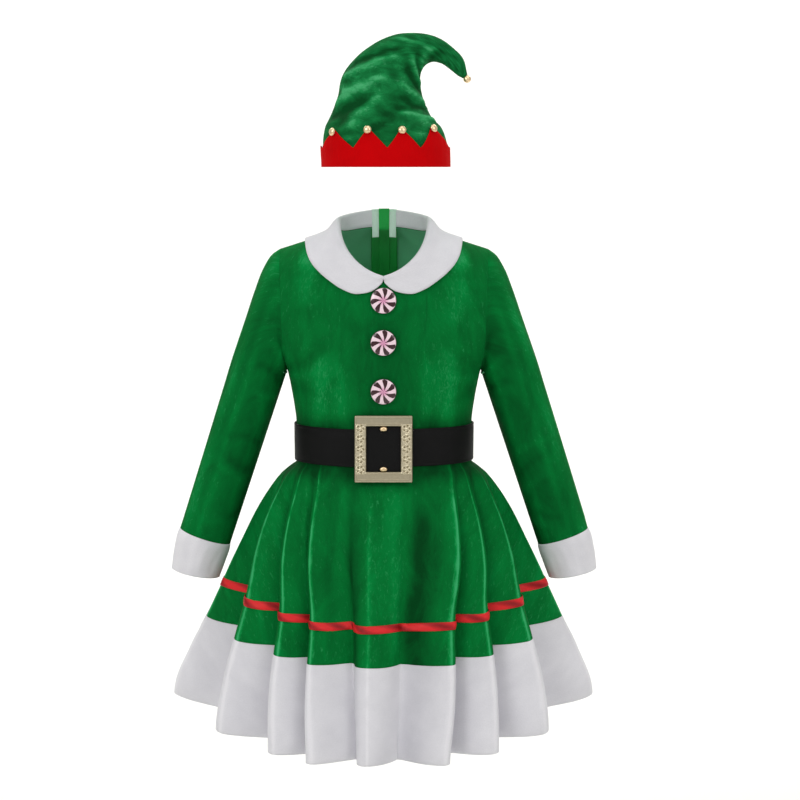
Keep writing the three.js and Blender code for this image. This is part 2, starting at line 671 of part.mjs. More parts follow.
// Hat: the outer edge, the inner edge and half the depth of its sections, from the rim to the tip
const hatMiddleX = 2.8;
const hatSections = [
  { outX: -81.3, outZ: 84, inX: 87, inZ: 84, deep: 76 },
  { outX: -82, outZ: 110, inX: 86, inZ: 110, deep: 72 },
  { outX: -78.5, outZ: 137, inX: 77, inZ: 137, deep: 66 },
  { outX: -69.8, outZ: 156, inX: 66, inZ: 148, deep: 58 },
  { outX: -61.7, outZ: 178, inX: 59, inZ: 160, deep: 51 },
  { outX: -56, outZ: 204, inX: 52, inZ: 178, deep: 45 },
  { outX: -44.2, outZ: 222, inX: 49, inZ: 196, deep: 39 },
  { outX: -24, outZ: 240.6, inX: 50, inZ: 209, deep: 33 },
  { outX: 6.7, outZ: 257, inX: 56, inZ: 219, deep: 27 },
  { outX: 36, outZ: 262, inX: 65.2, inZ: 223.5, deep: 22 },
  { outX: 67, outZ: 258, inX: 77, inZ: 221.6, deep: 17 },
  { outX: 92, outZ: 243, inX: 89, inZ: 213.5, deep: 12 },
  { outX: 107.8, outZ: 225, inX: 100, inZ: 205, deep: 8.5 },
  { outX: 112, outZ: 207, inX: 106, inZ: 202, deep: 3.6 },
];
// Upper edge of the hat band: its rise over the rim at turns from the outer seam
const zigzag = [
  { turn: 0, rise: 28 },
  { turn: 13, rise: 24 },
  { turn: 38, rise: 48 },
  { turn: 61, rise: 24 },
  { turn: 76, rise: 50 },
  { turn: 92, rise: 24 },
  { turn: 107, rise: 49 },
  { turn: 123, rise: 24 },
  { turn: 142, rise: 51 },
  { turn: 170, rise: 24 },
  { turn: 180, rise: 26 },
];

// Half of one hat section, from its seam on one side to the other. side is -1 for the front.
function hatArc(section, side, turns) {
  const ordered = side < 0 ? turns : [...turns].reverse();
  return ordered.map((turn) => {
    const across = (1 - Math.cos(turn)) / 2;
    const gap = Math.max(Math.sin(turn) * section.deep, seamGap / 2);
    return point(mix(section.outX, section.inX, across), side * gap, mix(section.outZ, section.inZ, across));
  });
}
const hatTurns = zigzag.map((row) => THREE.MathUtils.degToRad(row.turn));
const hatSeams = { seams: { bottom: levelUp, left: ahead, right: ahead } };
const hatPanel = (side) => hatSections.map((section) => hatArc(section, side, hatTurns));
add("hat_crown_front", cloth(hatPanel(-1), velvetWall, hatSeams), green);
add("hat_crown_back", cloth(hatPanel(1), velvetWall, hatSeams), green);

// Hat band, over the crown
const bandGap = 1.4;
const hatBandWall = 1.5;
const bandLevel = 21;
const rimZ = hatSections[0].outZ;

// The crown's section at a height above the rim, read from the same table
function hatSectionAt(rise) {
  const z = rimZ + rise;
  const value = (column) => read(hatSections.slice(0, 5), "outZ", z, column);
  return { outX: value("outX"), outZ: z, inX: value("inX"), inZ: z, deep: value("deep") };
}

function hatBandRows(side) {
  const ordered = side < 0 ? zigzag : [...zigzag].reverse();
  const heights = [() => 0, () => bandLevel, (rise) => rise];
  return heights.map((height) =>
    ordered.map(({ turn, rise }) => hatArc(hatSectionAt(height(rise)), side, [THREE.MathUtils.degToRad(turn)])[0]),
  );
}
for (const [name, side] of [["front", -1], ["back", 1]]) {
  const rows = movedOut(hatBandRows(side), bandGap + hatBandWall, hatSeams);
  rows.forEach((row) => row.forEach((p) => p.setY(side * Math.max(side * p.y, seamGap / 2))));
  add("hat_band_" + name, cloth(rows, hatBandWall, hatSeams), red);
}

// Bells on the points of the band and at the hat's tip
const bellRadius = 5.5;
const rimHalfWide = 80;
const rimHalfDeep = 70;
const bell = () => dome(bellRadius, 6.5, 1.5, 8, 2);
for (const [name, side] of [["front", -1], ["back", 1]]) {
  zigzag.filter((row) => row.rise > 40).forEach((row, i) => {
    const turn = [THREE.MathUtils.degToRad(row.turn)];
    const seat = hatArc(hatSectionAt(row.rise - 3), side, turn)[0];
    const below = hatArc(hatSectionAt(row.rise - 15), side, turn)[0];
    const upHat = seat.clone().sub(below).normalize();
    const level = point((seat.x - hatMiddleX) / rimHalfWide ** 2, seat.y / rimHalfDeep ** 2, 0);
    const out = level.projectOnPlane(upHat).normalize();
    const turned = bell().applyQuaternion(new THREE.Quaternion().setFromUnitVectors(levelUp, out));
    const at = seat.addScaledVector(out, bandGap + hatBandWall + 2 * seamGap);
    add(`hat_bell_${name}_${i + 1}`, turned.translate(at.x, at.y, at.z), gold);
  });
}
const tip = hatSections[hatSections.length - 1];
const tipOut = point(0.62, 0, -0.78).normalize();
const tipBell = new THREE.SphereGeometry(bellRadius, 8, 6).applyQuaternion(
  new THREE.Quaternion().setFromUnitVectors(ahead, tipOut),
);
const tipSeat = point((tip.outX + tip.inX) / 2, 0, (tip.outZ + tip.inZ) / 2).addScaledVector(tipOut, bellRadius - 1);
add("hat_bell_tip", tipBell.translate(tipSeat.x, tipSeat.y, tipSeat.z), gold);

export default costume;
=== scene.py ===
# A child's elf costume: green velvet dress with white trim and a belt, and its pointed hat.
# Sizes are in millimetres in the tables and in metres once a mesh is made. The front faces -Y.
import math
import bpy
import numpy as np
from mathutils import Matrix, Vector


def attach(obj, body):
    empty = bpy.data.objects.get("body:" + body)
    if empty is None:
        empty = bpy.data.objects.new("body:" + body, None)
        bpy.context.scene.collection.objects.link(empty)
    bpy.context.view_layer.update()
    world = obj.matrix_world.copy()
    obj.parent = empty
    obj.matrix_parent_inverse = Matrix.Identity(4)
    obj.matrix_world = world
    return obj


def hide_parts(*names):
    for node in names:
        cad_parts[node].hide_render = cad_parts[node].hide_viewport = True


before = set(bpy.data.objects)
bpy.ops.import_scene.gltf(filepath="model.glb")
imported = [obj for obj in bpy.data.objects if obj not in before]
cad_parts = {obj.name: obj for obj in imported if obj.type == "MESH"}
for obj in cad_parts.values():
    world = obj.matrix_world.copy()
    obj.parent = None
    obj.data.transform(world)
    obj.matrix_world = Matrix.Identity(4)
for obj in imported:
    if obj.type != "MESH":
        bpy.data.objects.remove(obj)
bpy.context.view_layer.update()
body, pullBody = "costume", "pull"


# Small helpers
def linear(hexColour):  # sRGB hex to linear RGBA
    parts = [int(hexColour[i:i + 2], 16) / 255 for i in (1, 3, 5)]
    return [c / 12.92 if c <= 0.04045 else ((c + 0.055) / 1.055) ** 2.4 for c in parts] + [1]


def addNode(tree, kind, inputs=None, **settings):
    made = tree.nodes.new(kind)
    for name, value in settings.items():
        setattr(made, name, value)
    for socket, value in (inputs or {}).items():
        if isinstance(value, bpy.types.NodeSocket):
            tree.links.new(value, made.inputs[socket])
        else:
            made.inputs[socket].default_value = value
    return made


def noise(tree, place, size, detail, roughness, twist=0.0):  # patches about size millimetres across
    made = addNode(tree, "ShaderNodeTexNoise", {"Vector": place, "Scale": 1000 / size, "Detail": detail,
                                                "Roughness": roughness, "Distortion": twist})
    return made.outputs["Fac"]


def figure(tree, operation, *values):
    return addNode(tree, "ShaderNodeMath", dict(enumerate(values)), operation=operation).outputs["Value"]


def remap(tree, value, low, high, toLow=0.0, toHigh=1.0, kind="LINEAR"):
    ends = {"Value": value, "From Min": low, "From Max": high, "To Min": toLow, "To Max": toHigh}
    return addNode(tree, "ShaderNodeMapRange", ends, interpolation_type=kind).outputs["Result"]


def mixed(tree, share, first, second, blend="MIX"):  # two colours; sockets 6 and 7 are its colour ones
    made = addNode(tree, "ShaderNodeMix", {0: share, 6: first, 7: second}, data_type="RGBA", blend_type=blend)
    return made.outputs[2]


def bump(tree, height, strength, distance, under=None):  # distance in metres
    made = addNode(tree, "ShaderNodeBump", {"Height": height, "Strength": strength, "Distance": distance})
    if under:
        tree.links.new(under, made.inputs["Normal"])
    return made.outputs["Normal"]


def readTable(table, key, at, column):  # smooth curve through a table's rows that never overshoots them
    xs, ys = np.array(table[key], float), np.array(table[column], float)
    at = np.clip(np.asarray(at, float), xs[0], xs[-1])
    i = np.clip(np.searchsorted(xs, at, side="right") - 1, 0, len(xs) - 2)
    rise = np.diff(ys) / np.diff(xs)
    slope = np.zeros(len(xs))
    both = rise[:-1] * rise[1:]
    total = np.where(both > 0, rise[:-1] + rise[1:], 1)
    slope[1:-1] = np.where(both > 0, 2 * both / total, 0)
    span = xs[i + 1] - xs[i]
    t = (at - xs[i]) / span
    return (ys[i] * (1 + 2 * t) * (1 - t) ** 2 + ys[i + 1] * (3 - 2 * t) * t * t
            + slope[i] * span * t * (1 - t) ** 2 - slope[i + 1] * span * t * t * (1 - t))


def normalsOf(grid, closed=False):  # outward direction at each point: rows go up, a row runs to the right
    if closed:
        along = np.roll(grid, -1, 1) - np.roll(grid, 1, 1)
    else:
        along = np.gradient(grid, axis=1)
    normal = np.cross(along, np.gradient(grid, axis=0))
    return normal / np.maximum(np.linalg.norm(normal, axis=2, keepdims=True), 1e-9)


def smoothRows(rows, count):  # more rows through the given ones, on a smooth curve
    rows = np.array(rows, float)
    gaps = np.linalg.norm(np.diff(rows, axis=0), axis=2).mean(1)
    at = np.concatenate([[0], np.cumsum(gaps)])
    want = np.linspace(0, at[-1], count)
    slope = np.gradient(rows, at, axis=0)
    i = np.clip(np.searchsorted(at, want, side="right") - 1, 0, len(at) - 2)
    span = (at[i + 1] - at[i])[:, None, None]
    t = ((want - at[i]) / (at[i + 1] - at[i]))[:, None, None]
    return ((1 + 2 * t) * (1 - t) ** 2 * rows[i] + t * t * (3 - 2 * t) * rows[i + 1]
            + span * t * (1 - t) ** 2 * slope[i] - span * t * t * (1 - t) * slope[i + 1])


def arcLengths(grid, closed=False):  # distance along each row and up each column, in mm
    grid = np.concatenate([grid, grid[:, :1]], 1) if closed else grid
    across = np.linalg.norm(np.diff(grid, axis=1), axis=2)
    up = np.linalg.norm(np.diff(grid, axis=0), axis=2)
    u = np.concatenate([np.zeros((len(grid), 1)), np.cumsum(across, 1)], 1)
    v = np.concatenate([np.zeros((1, grid.shape[1])), np.cumsum(up, 0)], 0)
    return u, v


def soften(u, v, lines):  # height of listed creases: from, to, half width, height, bow to one side
    height = np.zeros(np.broadcast(u, v).shape)
    for (u0, v0), (u1, v1), width, high, bow in lines:
        du, dv = u1 - u0, v1 - v0
        long = math.hypot(du, dv)
        t = ((u - u0) * du + (v - v0) * dv) / long ** 2
        off = ((u - u0) * dv - (v - v0) * du) / long - bow * 4 * t * (1 - t)
        ends = np.clip((t + 0.12) / 0.3, 0, 1) * np.clip((1.12 - t) / 0.3, 0, 1)
        ends = ends * ends * (3 - 2 * ends)
        height = height + high * ends * np.exp(-(off / width) ** 2)
    return height


def ripple(u, v, seed, size, height):  # slow uneven waves, so that no part of the cloth is flat
    rng = np.random.default_rng(seed)
    total = np.zeros(np.broadcast(u, v).shape)
    for _ in range(9):
        turn, phase = rng.uniform(0, math.pi), rng.uniform(0, 2 * math.pi)
        wave = rng.uniform(0.6, 1.6) * size
        total = total + np.sin((u * math.cos(turn) + v * math.sin(turn)) * 2 * math.pi / wave + phase)
    return total * height / 3


def inMillimetres(creases, scale, widthScale):  # creases that were given in turns or shares of a width
    return [((a[0] * scale, a[1]), (b[0] * scale, b[1]), w * widthScale, h, bow * widthScale)
            for a, b, w, h, bow in creases]


def wrinkled(grid, height, closed=False):
    return grid + normalsOf(grid, closed) * height[..., None]


def edgeFade(shape, rows, columns, closed=False):  # 0 at the edges, 1 a few rows and columns inside
    j = np.minimum(np.arange(shape[0]), np.arange(shape[0])[::-1])
    i = np.minimum(np.arange(shape[1]), np.arange(shape[1])[::-1])
    down = np.clip(j / rows, 0, 1)[:, None]
    across = np.ones(shape[1])[None] if closed else np.clip(i / columns, 0, 1)[None]
    both = down * across
    return both * both * (3 - 2 * both)


def finishMesh(name, points, faces, uvs, materials, faceMaterial=None, ridesOn=body, sharp=None, pileAndPaintedLight=None):
    mesh = bpy.data.meshes.new(name)
    mesh.from_pydata((np.asarray(points) * 0.001).tolist(), [], faces)
    layer = mesh.uv_layers.new(name="clothMap")
    flatIndex = np.array([k for face in faces for k in face])
    layer.data.foreach_set("uv", (np.asarray(uvs)[flatIndex] * 0.001).ravel())
    for material in materials:
        mesh.materials.append(material)
    if faceMaterial is not None:
        mesh.polygons.foreach_set("material_index", np.asarray(faceMaterial, dtype=np.int32))
    mesh.polygons.foreach_set("use_smooth", [True] * len(mesh.polygons))
    if sharp:
        mesh.set_sharp_from_angle(angle=math.radians(sharp))
    if pileAndPaintedLight is not None:  # painted light and shade for the materials: 0 is painted shade, as in a hollow, 1 is painted light, where the cloth faces the light
        mesh.attributes.new("paintedLight", "FLOAT", "POINT").data.foreach_set("value", np.clip(pileAndPaintedLight, 0, 1))
    mesh.update()
    made = bpy.data.objects.new(name, mesh)
    bpy.context.scene.collection.objects.link(made)
    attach(made, ridesOn)
    return made


# A thin cloth: the grid is its face, the back lies one wall behind it, and the rims are rounded.
def clothPiece(name, grid, wall, materials, closed=False, shift=(0, 0), pileAndPaintedLight=None):
    rows = len(grid)
    normal = normalsOf(grid, closed)
    u, v = arcLengths(grid, closed)
    columns = u.shape[1]
    looped = np.concatenate([grid, grid[:, :1]], 1) if closed else grid
    loopedNormal = np.concatenate([normal, normal[:, :1]], 1) if closed else normal
    inner = looped - loopedNormal * wall
    mid = looped - loopedNormal * wall / 2
    face = np.stack([u - u[:, -1:] / 2 + shift[0], v + shift[1]], 2)
    # painted light and shade of each point; an even middle value where none is given
    standingAndPaintedLight = np.full(grid.shape[:2], 0.5) if pileAndPaintedLight is None else np.broadcast_to(pileAndPaintedLight, grid.shape[:2])
    standingAndPaintedLight = (np.concatenate([standingAndPaintedLight, standingAndPaintedLight[:, :1]], 1) if closed else standingAndPaintedLight).ravel()
    lightValues = [standingAndPaintedLight] * 2
    points = np.concatenate([looped.reshape(-1, 3), inner.reshape(-1, 3)])
    uvs = np.concatenate([face.reshape(-1, 2)] * 2)
    size = rows * columns
    k = (np.arange(rows - 1)[:, None] * columns + np.arange(columns - 1)[None]).ravel()
    front = np.stack([k, k + 1, k + 1 + columns, k + columns], 1)
    back = front[:, ::-1] + size
    faces, which = [front, back], [np.zeros(len(front)), np.ones(len(back))]
    loops = [np.arange(columns), np.arange((rows - 1) * columns, rows * columns)[::-1]]
    if not closed:
        loops += [np.arange(rows)[::-1] * columns, np.arange(rows) * columns + columns - 1]
    count = len(points)
    for loop in loops:  # a rounded rim: one more line of points half a wall outside the edge
        out = np.cross(loopedNormal.reshape(-1, 3)[loop], np.gradient(looped.reshape(-1, 3)[loop], axis=0))
        out = -out / np.maximum(np.linalg.norm(out, axis=1, keepdims=True), 1e-9)
        rim = mid.reshape(-1, 3)[loop] + out * wall * 0.3
        points = np.concatenate([points, rim])
        uvs = np.concatenate([uvs, face.reshape(-1, 2)[loop]])
        lightValues.append(standingAndPaintedLight[loop])
        n = np.arange(len(loop) - 1)
        r = count + n
        faces.append(np.stack([loop[n + 1], loop[n], r, r + 1], 1))
        faces.append(np.stack([loop[n] + size, loop[n + 1] + size, r + 1, r], 1))
        which += [np.zeros(len(n)), np.zeros(len(n))]
        count += len(loop)
    allFaces = np.concatenate(faces).astype(int)
    made = finishMesh(name, points, allFaces.tolist(), uvs, materials, np.concatenate(which),
                      pileAndPaintedLight=np.concatenate(lightValues))
    if closed:  # joins the two ends of each row, keeping their own place in the map
        weld = made.modifiers.new("join", "WELD")
        weld.merge_threshold = 0.00002
    return made


def cutSize(grid, closed=False):  # width, length and area of the flat cloth, in metres
    looped = np.concatenate([grid, grid[:, :1]], 1) if closed else grid
    u, v = arcLengths(grid, closed)
    a, b = np.diff(looped[:-1], axis=1), np.diff(looped[:, :-1], axis=0)
    area = np.linalg.norm(np.cross(a, b), axis=2).sum() * 1e-6
    width, length = u[:, -1].max() * 0.001, v[-1].max() * 0.001
    return (round(width, 4), round(length, 4)), round(min(area, width * length), 5)


def standsFor(node):
    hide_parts(node)


def layFlat(grid, closed=False):
    size, area = cutSize(grid, closed)


# Camera, light and floor
view = {"lens": 92.97, "sensor": 36, "place": (0.0218, -2.8, 0.084), "down": 6.44}
cameraData = bpy.data.cameras.new("camera")
cameraData.lens, cameraData.sensor_width = view["lens"], view["sensor"]
camera = bpy.data.objects.new("camera", cameraData)
camera.location = view["place"]
camera.rotation_euler = (math.radians(90 - view["down"]), 0, 0)
bpy.context.scene.collection.objects.link(camera)
bpy.context.scene.camera = camera

studio = {
    "leftBox": {"place": (-1.7, -2.0, 1.1), "aim": (0, 0, -0.3), "size": 1.2, "power": 19},
    "rightBox": {"place": (1.8, -1.9, 1.0), "aim": (0, 0, -0.3), "size": 1.2, "power": 12.5},
    "topBox": {"place": (0.1, -0.7, 2.1), "aim": (0, 0, -0.3), "size": 1.8, "power": 11},
    "backLeft": {"place": (-1.6, 2.0, 2.3), "aim": (-0.2, 3.3, -0.7), "size": 1.2, "power": 42},
    "backRight": {"place": (1.6, 2.0, 2.3), "aim": (0.2, 3.3, -0.7), "size": 1.2, "power": 42},
}
for name, box in studio.items():
    light = bpy.data.lights.new(name, "AREA")
    light.shape, light.size, light.energy = "SQUARE", box["size"], box["power"]
    lamp = bpy.data.objects.new(name, light)
    lamp.location = box["place"]
    lamp.rotation_euler = (Vector(box["aim"]) - lamp.location).to_track_quat("-Z", "Y").to_euler()
    bpy.context.scene.collection.objects.link(lamp)

world = bpy.data.worlds.new("studioAir")
bpy.context.scene.world = world
world.use_nodes = True
world.node_tree.nodes["Background"].inputs["Color"].default_value = linear("#FFFEFB")
world.node_tree.nodes["Background"].inputs["Strength"].default_value = 0.48
bpy.context.scene.view_settings.view_transform = "Standard"


def newMaterial(name, **shader):  # a principled material and its tree
    material = bpy.data.materials.new(name)
    material.use_nodes = True
    tree = material.node_tree
    principled = tree.nodes["Principled BSDF"]
    for socket, value in shader.items():
        principled.inputs[socket.replace("_", " ")].default_value = value
    return material, tree, principled


# Matt painted paper, rolled: an even pale ground with nothing in it
paper = newMaterial("rolledPaper", Roughness=0.95, Base_Color=linear("#FBFBF8"))[0]
floorDrop = -1.06  # the hem hangs about 0.4 m above the ground, as on a child 1.3 m tall
bend = 1.2  # the paper's curve from the floor up to the wall
floorMesh = bpy.data.meshes.new("floor")
sweep = [(-6, floorDrop), (2.6, floorDrop)]
sweep += [(2.6 + bend * math.sin(a), floorDrop + bend - bend * math.cos(a))
          for a in np.linspace(0.1, math.pi / 2, 12)]
sweep += [(2.6 + bend, 5)]
floorPoints = [(x, y, z) for y, z in sweep for x in (-7, 7)]
floorMesh.from_pydata(floorPoints, [], [(2 * i, 2 * i + 1, 2 * i + 3, 2 * i + 2)
                                        for i in range(len(sweep) - 1)])
floorMesh.polygons.foreach_set("use_smooth", [True] * len(floorMesh.polygons))
floorMesh.materials.append(paper)
floor = bpy.data.objects.new("floor", floorMesh)
bpy.context.scene.collection.objects.link(floor)
print("stage set")


# Materials
# Crushed velvet, knitted pile that was pressed while damp: patches of pile lean different ways, so
# dark and light greens drift into each other. Painted light and shade move each point along the same
# greens, and paler painted glints follow thin streaks, most where the cloth is painted lit.
def crushedVelvet(name, colours, crush):
    material, tree, principled = newMaterial(
        name, Roughness=0.8, Sheen_Weight=crush["sheen"], Sheen_Roughness=0.3,
        Sheen_Tint=linear(colours["sheen"]), Specular_IOR_Level=0.06)
    place = addNode(tree, "ShaderNodeUVMap", uv_map="clothMap").outputs["UV"]
    paintedLight = addNode(tree, "ShaderNodeAttribute", attribute_name="paintedLight").outputs["Fac"]
    along = addNode(tree, "ShaderNodeMapping", {"Vector": place, "Scale": crush["stretch"]}).outputs["Vector"]
    patches = noise(tree, along, crush["patch"], 6, 0.68, crush["twist"])
    streaks = noise(tree, along, crush["streak"], 4, 0.65, 0.9)
    # real pile is 0.3 mm apart, drawn at 1 mm so that it shows
    pileAndPaintedLight = noise(tree, place, 1.1, 2, 0.7)
    # the crush patches give a random tone; the painted light value adds painted light and shade to it
    lie = figure(tree, "MULTIPLY_ADD", patches, crush["patchShare"], 0.5 - crush["patchShare"] / 2)
    tonePlusLight = figure(tree, "MULTIPLY_ADD", paintedLight, crush["paintedLightShare"], lie)
    toneAndPaintedLight = figure(tree, "SUBTRACT", tonePlusLight, crush["paintedLightShare"] / 2)
    ground = addNode(tree, "ShaderNodeValToRGB", {"Fac": toneAndPaintedLight})
    for stop, at, name in zip(ground.color_ramp.elements, (0.12, 0.95), ("deep", "light")):
        stop.position, stop.color = at, linear(colours[name])
    for position, colour in ((0.45, "middle"), (0.68, "bright")):
        ground.color_ramp.elements.new(position).color = linear(colours[colour])
    # painted glints: paler green along thin streaks, most where the cloth is painted lit
    standingAndPaintedLight = figure(tree, "MULTIPLY_ADD", paintedLight, crush["glintLightShare"], streaks)
    paintedGlint = remap(tree, standingAndPaintedLight, crush["glintFrom"], crush["glintFrom"] + 0.22, 0.0, crush["paintedGlint"],
                  kind="SMOOTHSTEP")
    glinted = mixed(tree, paintedGlint, ground.outputs["Color"], linear(colours["paintedGlint"]))
    grain = remap(tree, pileAndPaintedLight, 0.3, 0.7, 0.86, 1.14)
    coloured = mixed(tree, 1.0, glinted, grain, "MULTIPLY")
    tree.links.new(coloured, principled.inputs["Base Color"])
    lean = bump(tree, patches, crush["relief"], 0.003)
    fineLean = bump(tree, streaks, crush["relief"] * 0.8, 0.001, lean)
    nap = bump(tree, pileAndPaintedLight, 0.3, 0.0004, fineLean)
    tree.links.new(nap, principled.inputs["Normal"])
    return material


# the greens carry both the crush's own tone and painted light and shade; the glint green is a painted
# highlight
greens = {"deep": "#004119", "middle": "#00702F", "bright": "#00883E", "light": "#3DB070",
          "paintedGlint": "#35A463", "sheen": "#1FC96A"}
dressVelvet = crushedVelvet("crushedVelvetDress", greens, {
    "patch": 30, "patchShare": 0.55, "paintedLightShare": 0.9, "streak": 3.2, "stretch": (1.0, 0.4, 1.0),
    "twist": 0.7, "sheen": 0.07, "glintFrom": 0.77, "glintLightShare": 0.5, "paintedGlint": 0.42, "relief": 0.22})
hatGreens = {"deep": "#04471E", "middle": "#0D6A34", "bright": "#1A8547", "light": "#3DA968",
             "paintedGlint": "#56B57E", "sheen": "#2FC878"}
hatVelvet = crushedVelvet("crushedVelvetHat", hatGreens, {
    "patch": 18, "patchShare": 0.9, "paintedLightShare": 0.9, "streak": 6, "stretch": (0.8, 1.3, 1.0),
    "twist": 1.2, "sheen": 0.06, "glintFrom": 0.82, "glintLightShare": 0.5, "paintedGlint": 0.35, "relief": 0.5})


# Flat knit or woven cloth: fine ribs along the cloth, a soft unevenness, and a few lighter fibres.
# Its colour runs to the shade colour as painted shade where the painted light value is low
def plainCloth(name, colour, shade, rib, ribHeight, **shader):
    material, tree, principled = newMaterial(name, **shader)
    place = addNode(tree, "ShaderNodeUVMap", uv_map="clothMap").outputs["UV"]
    warp = addNode(tree, "ShaderNodeTexWave", {
        "Vector": place, "Scale": 314 / rib, "Distortion": 1.2, "Detail": 2, "Detail Scale": 3.0},
        bands_direction="X")
    weft = addNode(tree, "ShaderNodeTexWave", {
        "Vector": place, "Scale": 314 / rib, "Distortion": 1.2, "Detail": 2, "Detail Scale": 3.0},
        bands_direction="Y")
    drift = noise(tree, place, 35, 4, 0.6)
    fuzz = noise(tree, place, 1.4, 3, 0.7)
    threads = figure(tree, "MULTIPLY", warp.outputs["Fac"], weft.outputs["Fac"])
    paintedLight = addNode(tree, "ShaderNodeAttribute", attribute_name="paintedLight").outputs["Fac"]
    # painted shade and light: the mix between the shade colour and the cloth's own follows the painted light
    # value
    light = figure(tree, "MULTIPLY_ADD", drift, 0.4, paintedLight)
    lit = remap(tree, light, 0.2, 1.1)
    base = mixed(tree, lit, linear(shade), linear(colour))
    grain = remap(tree, fuzz, 0.3, 0.7, 0.95, 1.05)
    coloured = mixed(tree, 1.0, base, grain, "MULTIPLY")
    tree.links.new(coloured, principled.inputs["Base Color"])
    weave = bump(tree, threads, 0.35, ribHeight * 0.001)
    soft = bump(tree, fuzz, 0.3, 0.0006, weave)
    tree.links.new(soft, principled.inputs["Normal"])
    return material


# Brushed polyester, knitted with a short white nap: matt and bright, with painted grey shade in its hollows
brushedWhite = plainCloth("brushedPolyesterWhite", "#E9E8ED", "#B4B3BC", 1.6, 0.2,
                          Roughness=0.9, Sheen_Weight=0.25, Sheen_Roughness=0.5, Specular_IOR_Level=0.2)
# The velvet's knitted back: dull, a little greyer, with fine courses. Its green is made paler, as painted
# light for the shaded inside of the dress, and it takes the face's painted light and shade
velvetBack = plainCloth("velvetKnitBack", "#79D3A3", "#5CB886", 1.2, 0.2,
                        Roughness=0.85, Sheen_Weight=0.15, Sheen_Roughness=0.5, Specular_IOR_Level=0.2)
# Polyester tape, woven: smoother and clearer green than the velvet
tapeCloth = plainCloth("wovenZipTape", "#18B850", "#0E9038", 1.0, 0.15,
                       Roughness=0.6, Sheen_Weight=0.1, Specular_IOR_Level=0.35)
# Polyester satin ribbon: long floats give a broad shine across the ribbon
satinRed = plainCloth("polyesterSatinRed", "#E0282B", "#8A0610", 0.8, 0.1,
                      Roughness=0.42, Anisotropic=0.6, Specular_IOR_Level=0.22)
# The same ribbon in a mint white, for the strips at the collar's back ends
mintSatin = plainCloth("polyesterSatinMint", "#E2F5EA", "#BFE6D0", 0.8, 0.1, Roughness=0.45,
                       Specular_IOR_Level=0.3)
# Short red pile cloth: even and matt, with a faint drift
pileRed = plainCloth("brushedPolyesterRed", "#DC0006", "#A60004", 1.4, 0.2,
                     Roughness=0.85, Specular_IOR_Level=0.05)
# Coated polyester belting: black, close woven, with a dull shine
beltBlack = plainCloth("coatedBelting", "#0D0D0E", "#070708", 1.5, 0.25,
                       Roughness=0.62, Specular_IOR_Level=0.16)


# Metal with small hand-made unevenness
def softMetal(name, colour, shade, size, relief, hollowShade=None, **shader):
    material, tree, principled = newMaterial(name, Metallic=1.0, **shader)
    place = addNode(tree, "ShaderNodeTexCoord").outputs["Object"]
    wear = noise(tree, place, size, 5, 0.65)
    plated = mixed(tree, wear, linear(shade), linear(colour))
    if hollowShade:  # painted shade: darker where the relief lies low
        raised = addNode(tree, "ShaderNodeAttribute", attribute_name="paintedLight").outputs["Fac"]
        plated = mixed(tree, raised, linear(hollowShade), plated)
    tree.links.new(plated, principled.inputs["Base Color"])
    rough = remap(tree, wear, 0.3, 0.7, shader["Roughness"] + 0.08, shader["Roughness"] - 0.06)
    tree.links.new(rough, principled.inputs["Roughness"])
    worn = bump(tree, wear, 0.25, relief * 0.001)
    tree.links.new(worn, principled.inputs["Normal"])
    return material


# Zinc alloy, cast and plated a pale champagne: soft bright edges, with painted shade in the low parts of the
# relief
castChampagne = softMetal("castZincChampagne", "#E8DEC4", "#BFB395", 4, 0.3, hollowShade="#75694F",
                          Roughness=0.36)
# Brass plate, stamped and polished: the small bells, studs and the zip's metal
polishedBrass = softMetal("polishedBrassPlate", "#FFE9C4", "#F3CF9B", 3, 0.1, Roughness=0.34)
print("materials made")

# Bodice
bodice = {"waistZ": -300, "armpitZ": -190, "tipZ": -26, "shoulderHalf": 140, "round": 75, "wall": 1.1,
          "neckHalf": 58.8, "frontDrop": 64, "neckPoint": 0.25, "backDrop": 12, "backLift": 15,
          "gap": 0.3, "backOpening": 0.4}
torso = {"z": [-330, -262, -232, -210, -190, -172, -140, -100, -60, 20],
         "half": [119, 119.5, 123, 127, 131.5, 143, 160, 166, 166, 166],
         "front": [86, 86, 88, 90, 91, 92, 92, 90, 84, 76],
         "back": [78, 78, 80, 83, 85, 86, 88, 88, 86, 80]}
armhole = {"z": [-190, -150, -100, -26], "x": [131.5, 135.5, 137.5, 140]}


def sideX(z):
    return np.where(np.asarray(z) <= bodice["armpitZ"], readTable(torso, "z", z, "half"),
                    readTable(armhole, "z", z, "x"))


def shoulderZ(x, side):
    far, neck = np.abs(x), bodice["neckHalf"]
    outer = bodice["tipZ"] * (far - neck) / (bodice["shoulderHalf"] - neck)
    inner = bodice["backLift"] * (1 - (far / neck) ** 2) if side > 0 else np.zeros(np.shape(x))
    return np.where(far > neck, outer, inner)


def torsoPoint(x, z, side):
    x, z = np.broadcast_arrays(np.asarray(x, float), np.asarray(z, float))
    half = readTable(torso, "z", z, "half")
    deep = readTable(torso, "z", z, "front" if side < 0 else "back")
    across = np.sqrt(np.clip(1 - (x / half) ** 2, 0, None))
    rise = np.clip((z - shoulderZ(x, side) + bodice["round"]) / bodice["round"], 0, 1)
    return np.stack([x, side * deep * across * np.sqrt(1 - rise ** 2), z], -1)


def neckZ(x, side):
    share = np.abs(x) / bodice["neckHalf"]
    curve = np.sqrt(np.clip(1 - share ** 2, 0, None))
    point = curve + (np.clip(1 - share, 0, None) - curve) * bodice["neckPoint"]
    return -bodice["frontDrop"] * point if side < 0 else shoulderZ(x, side) - bodice["backDrop"] * curve


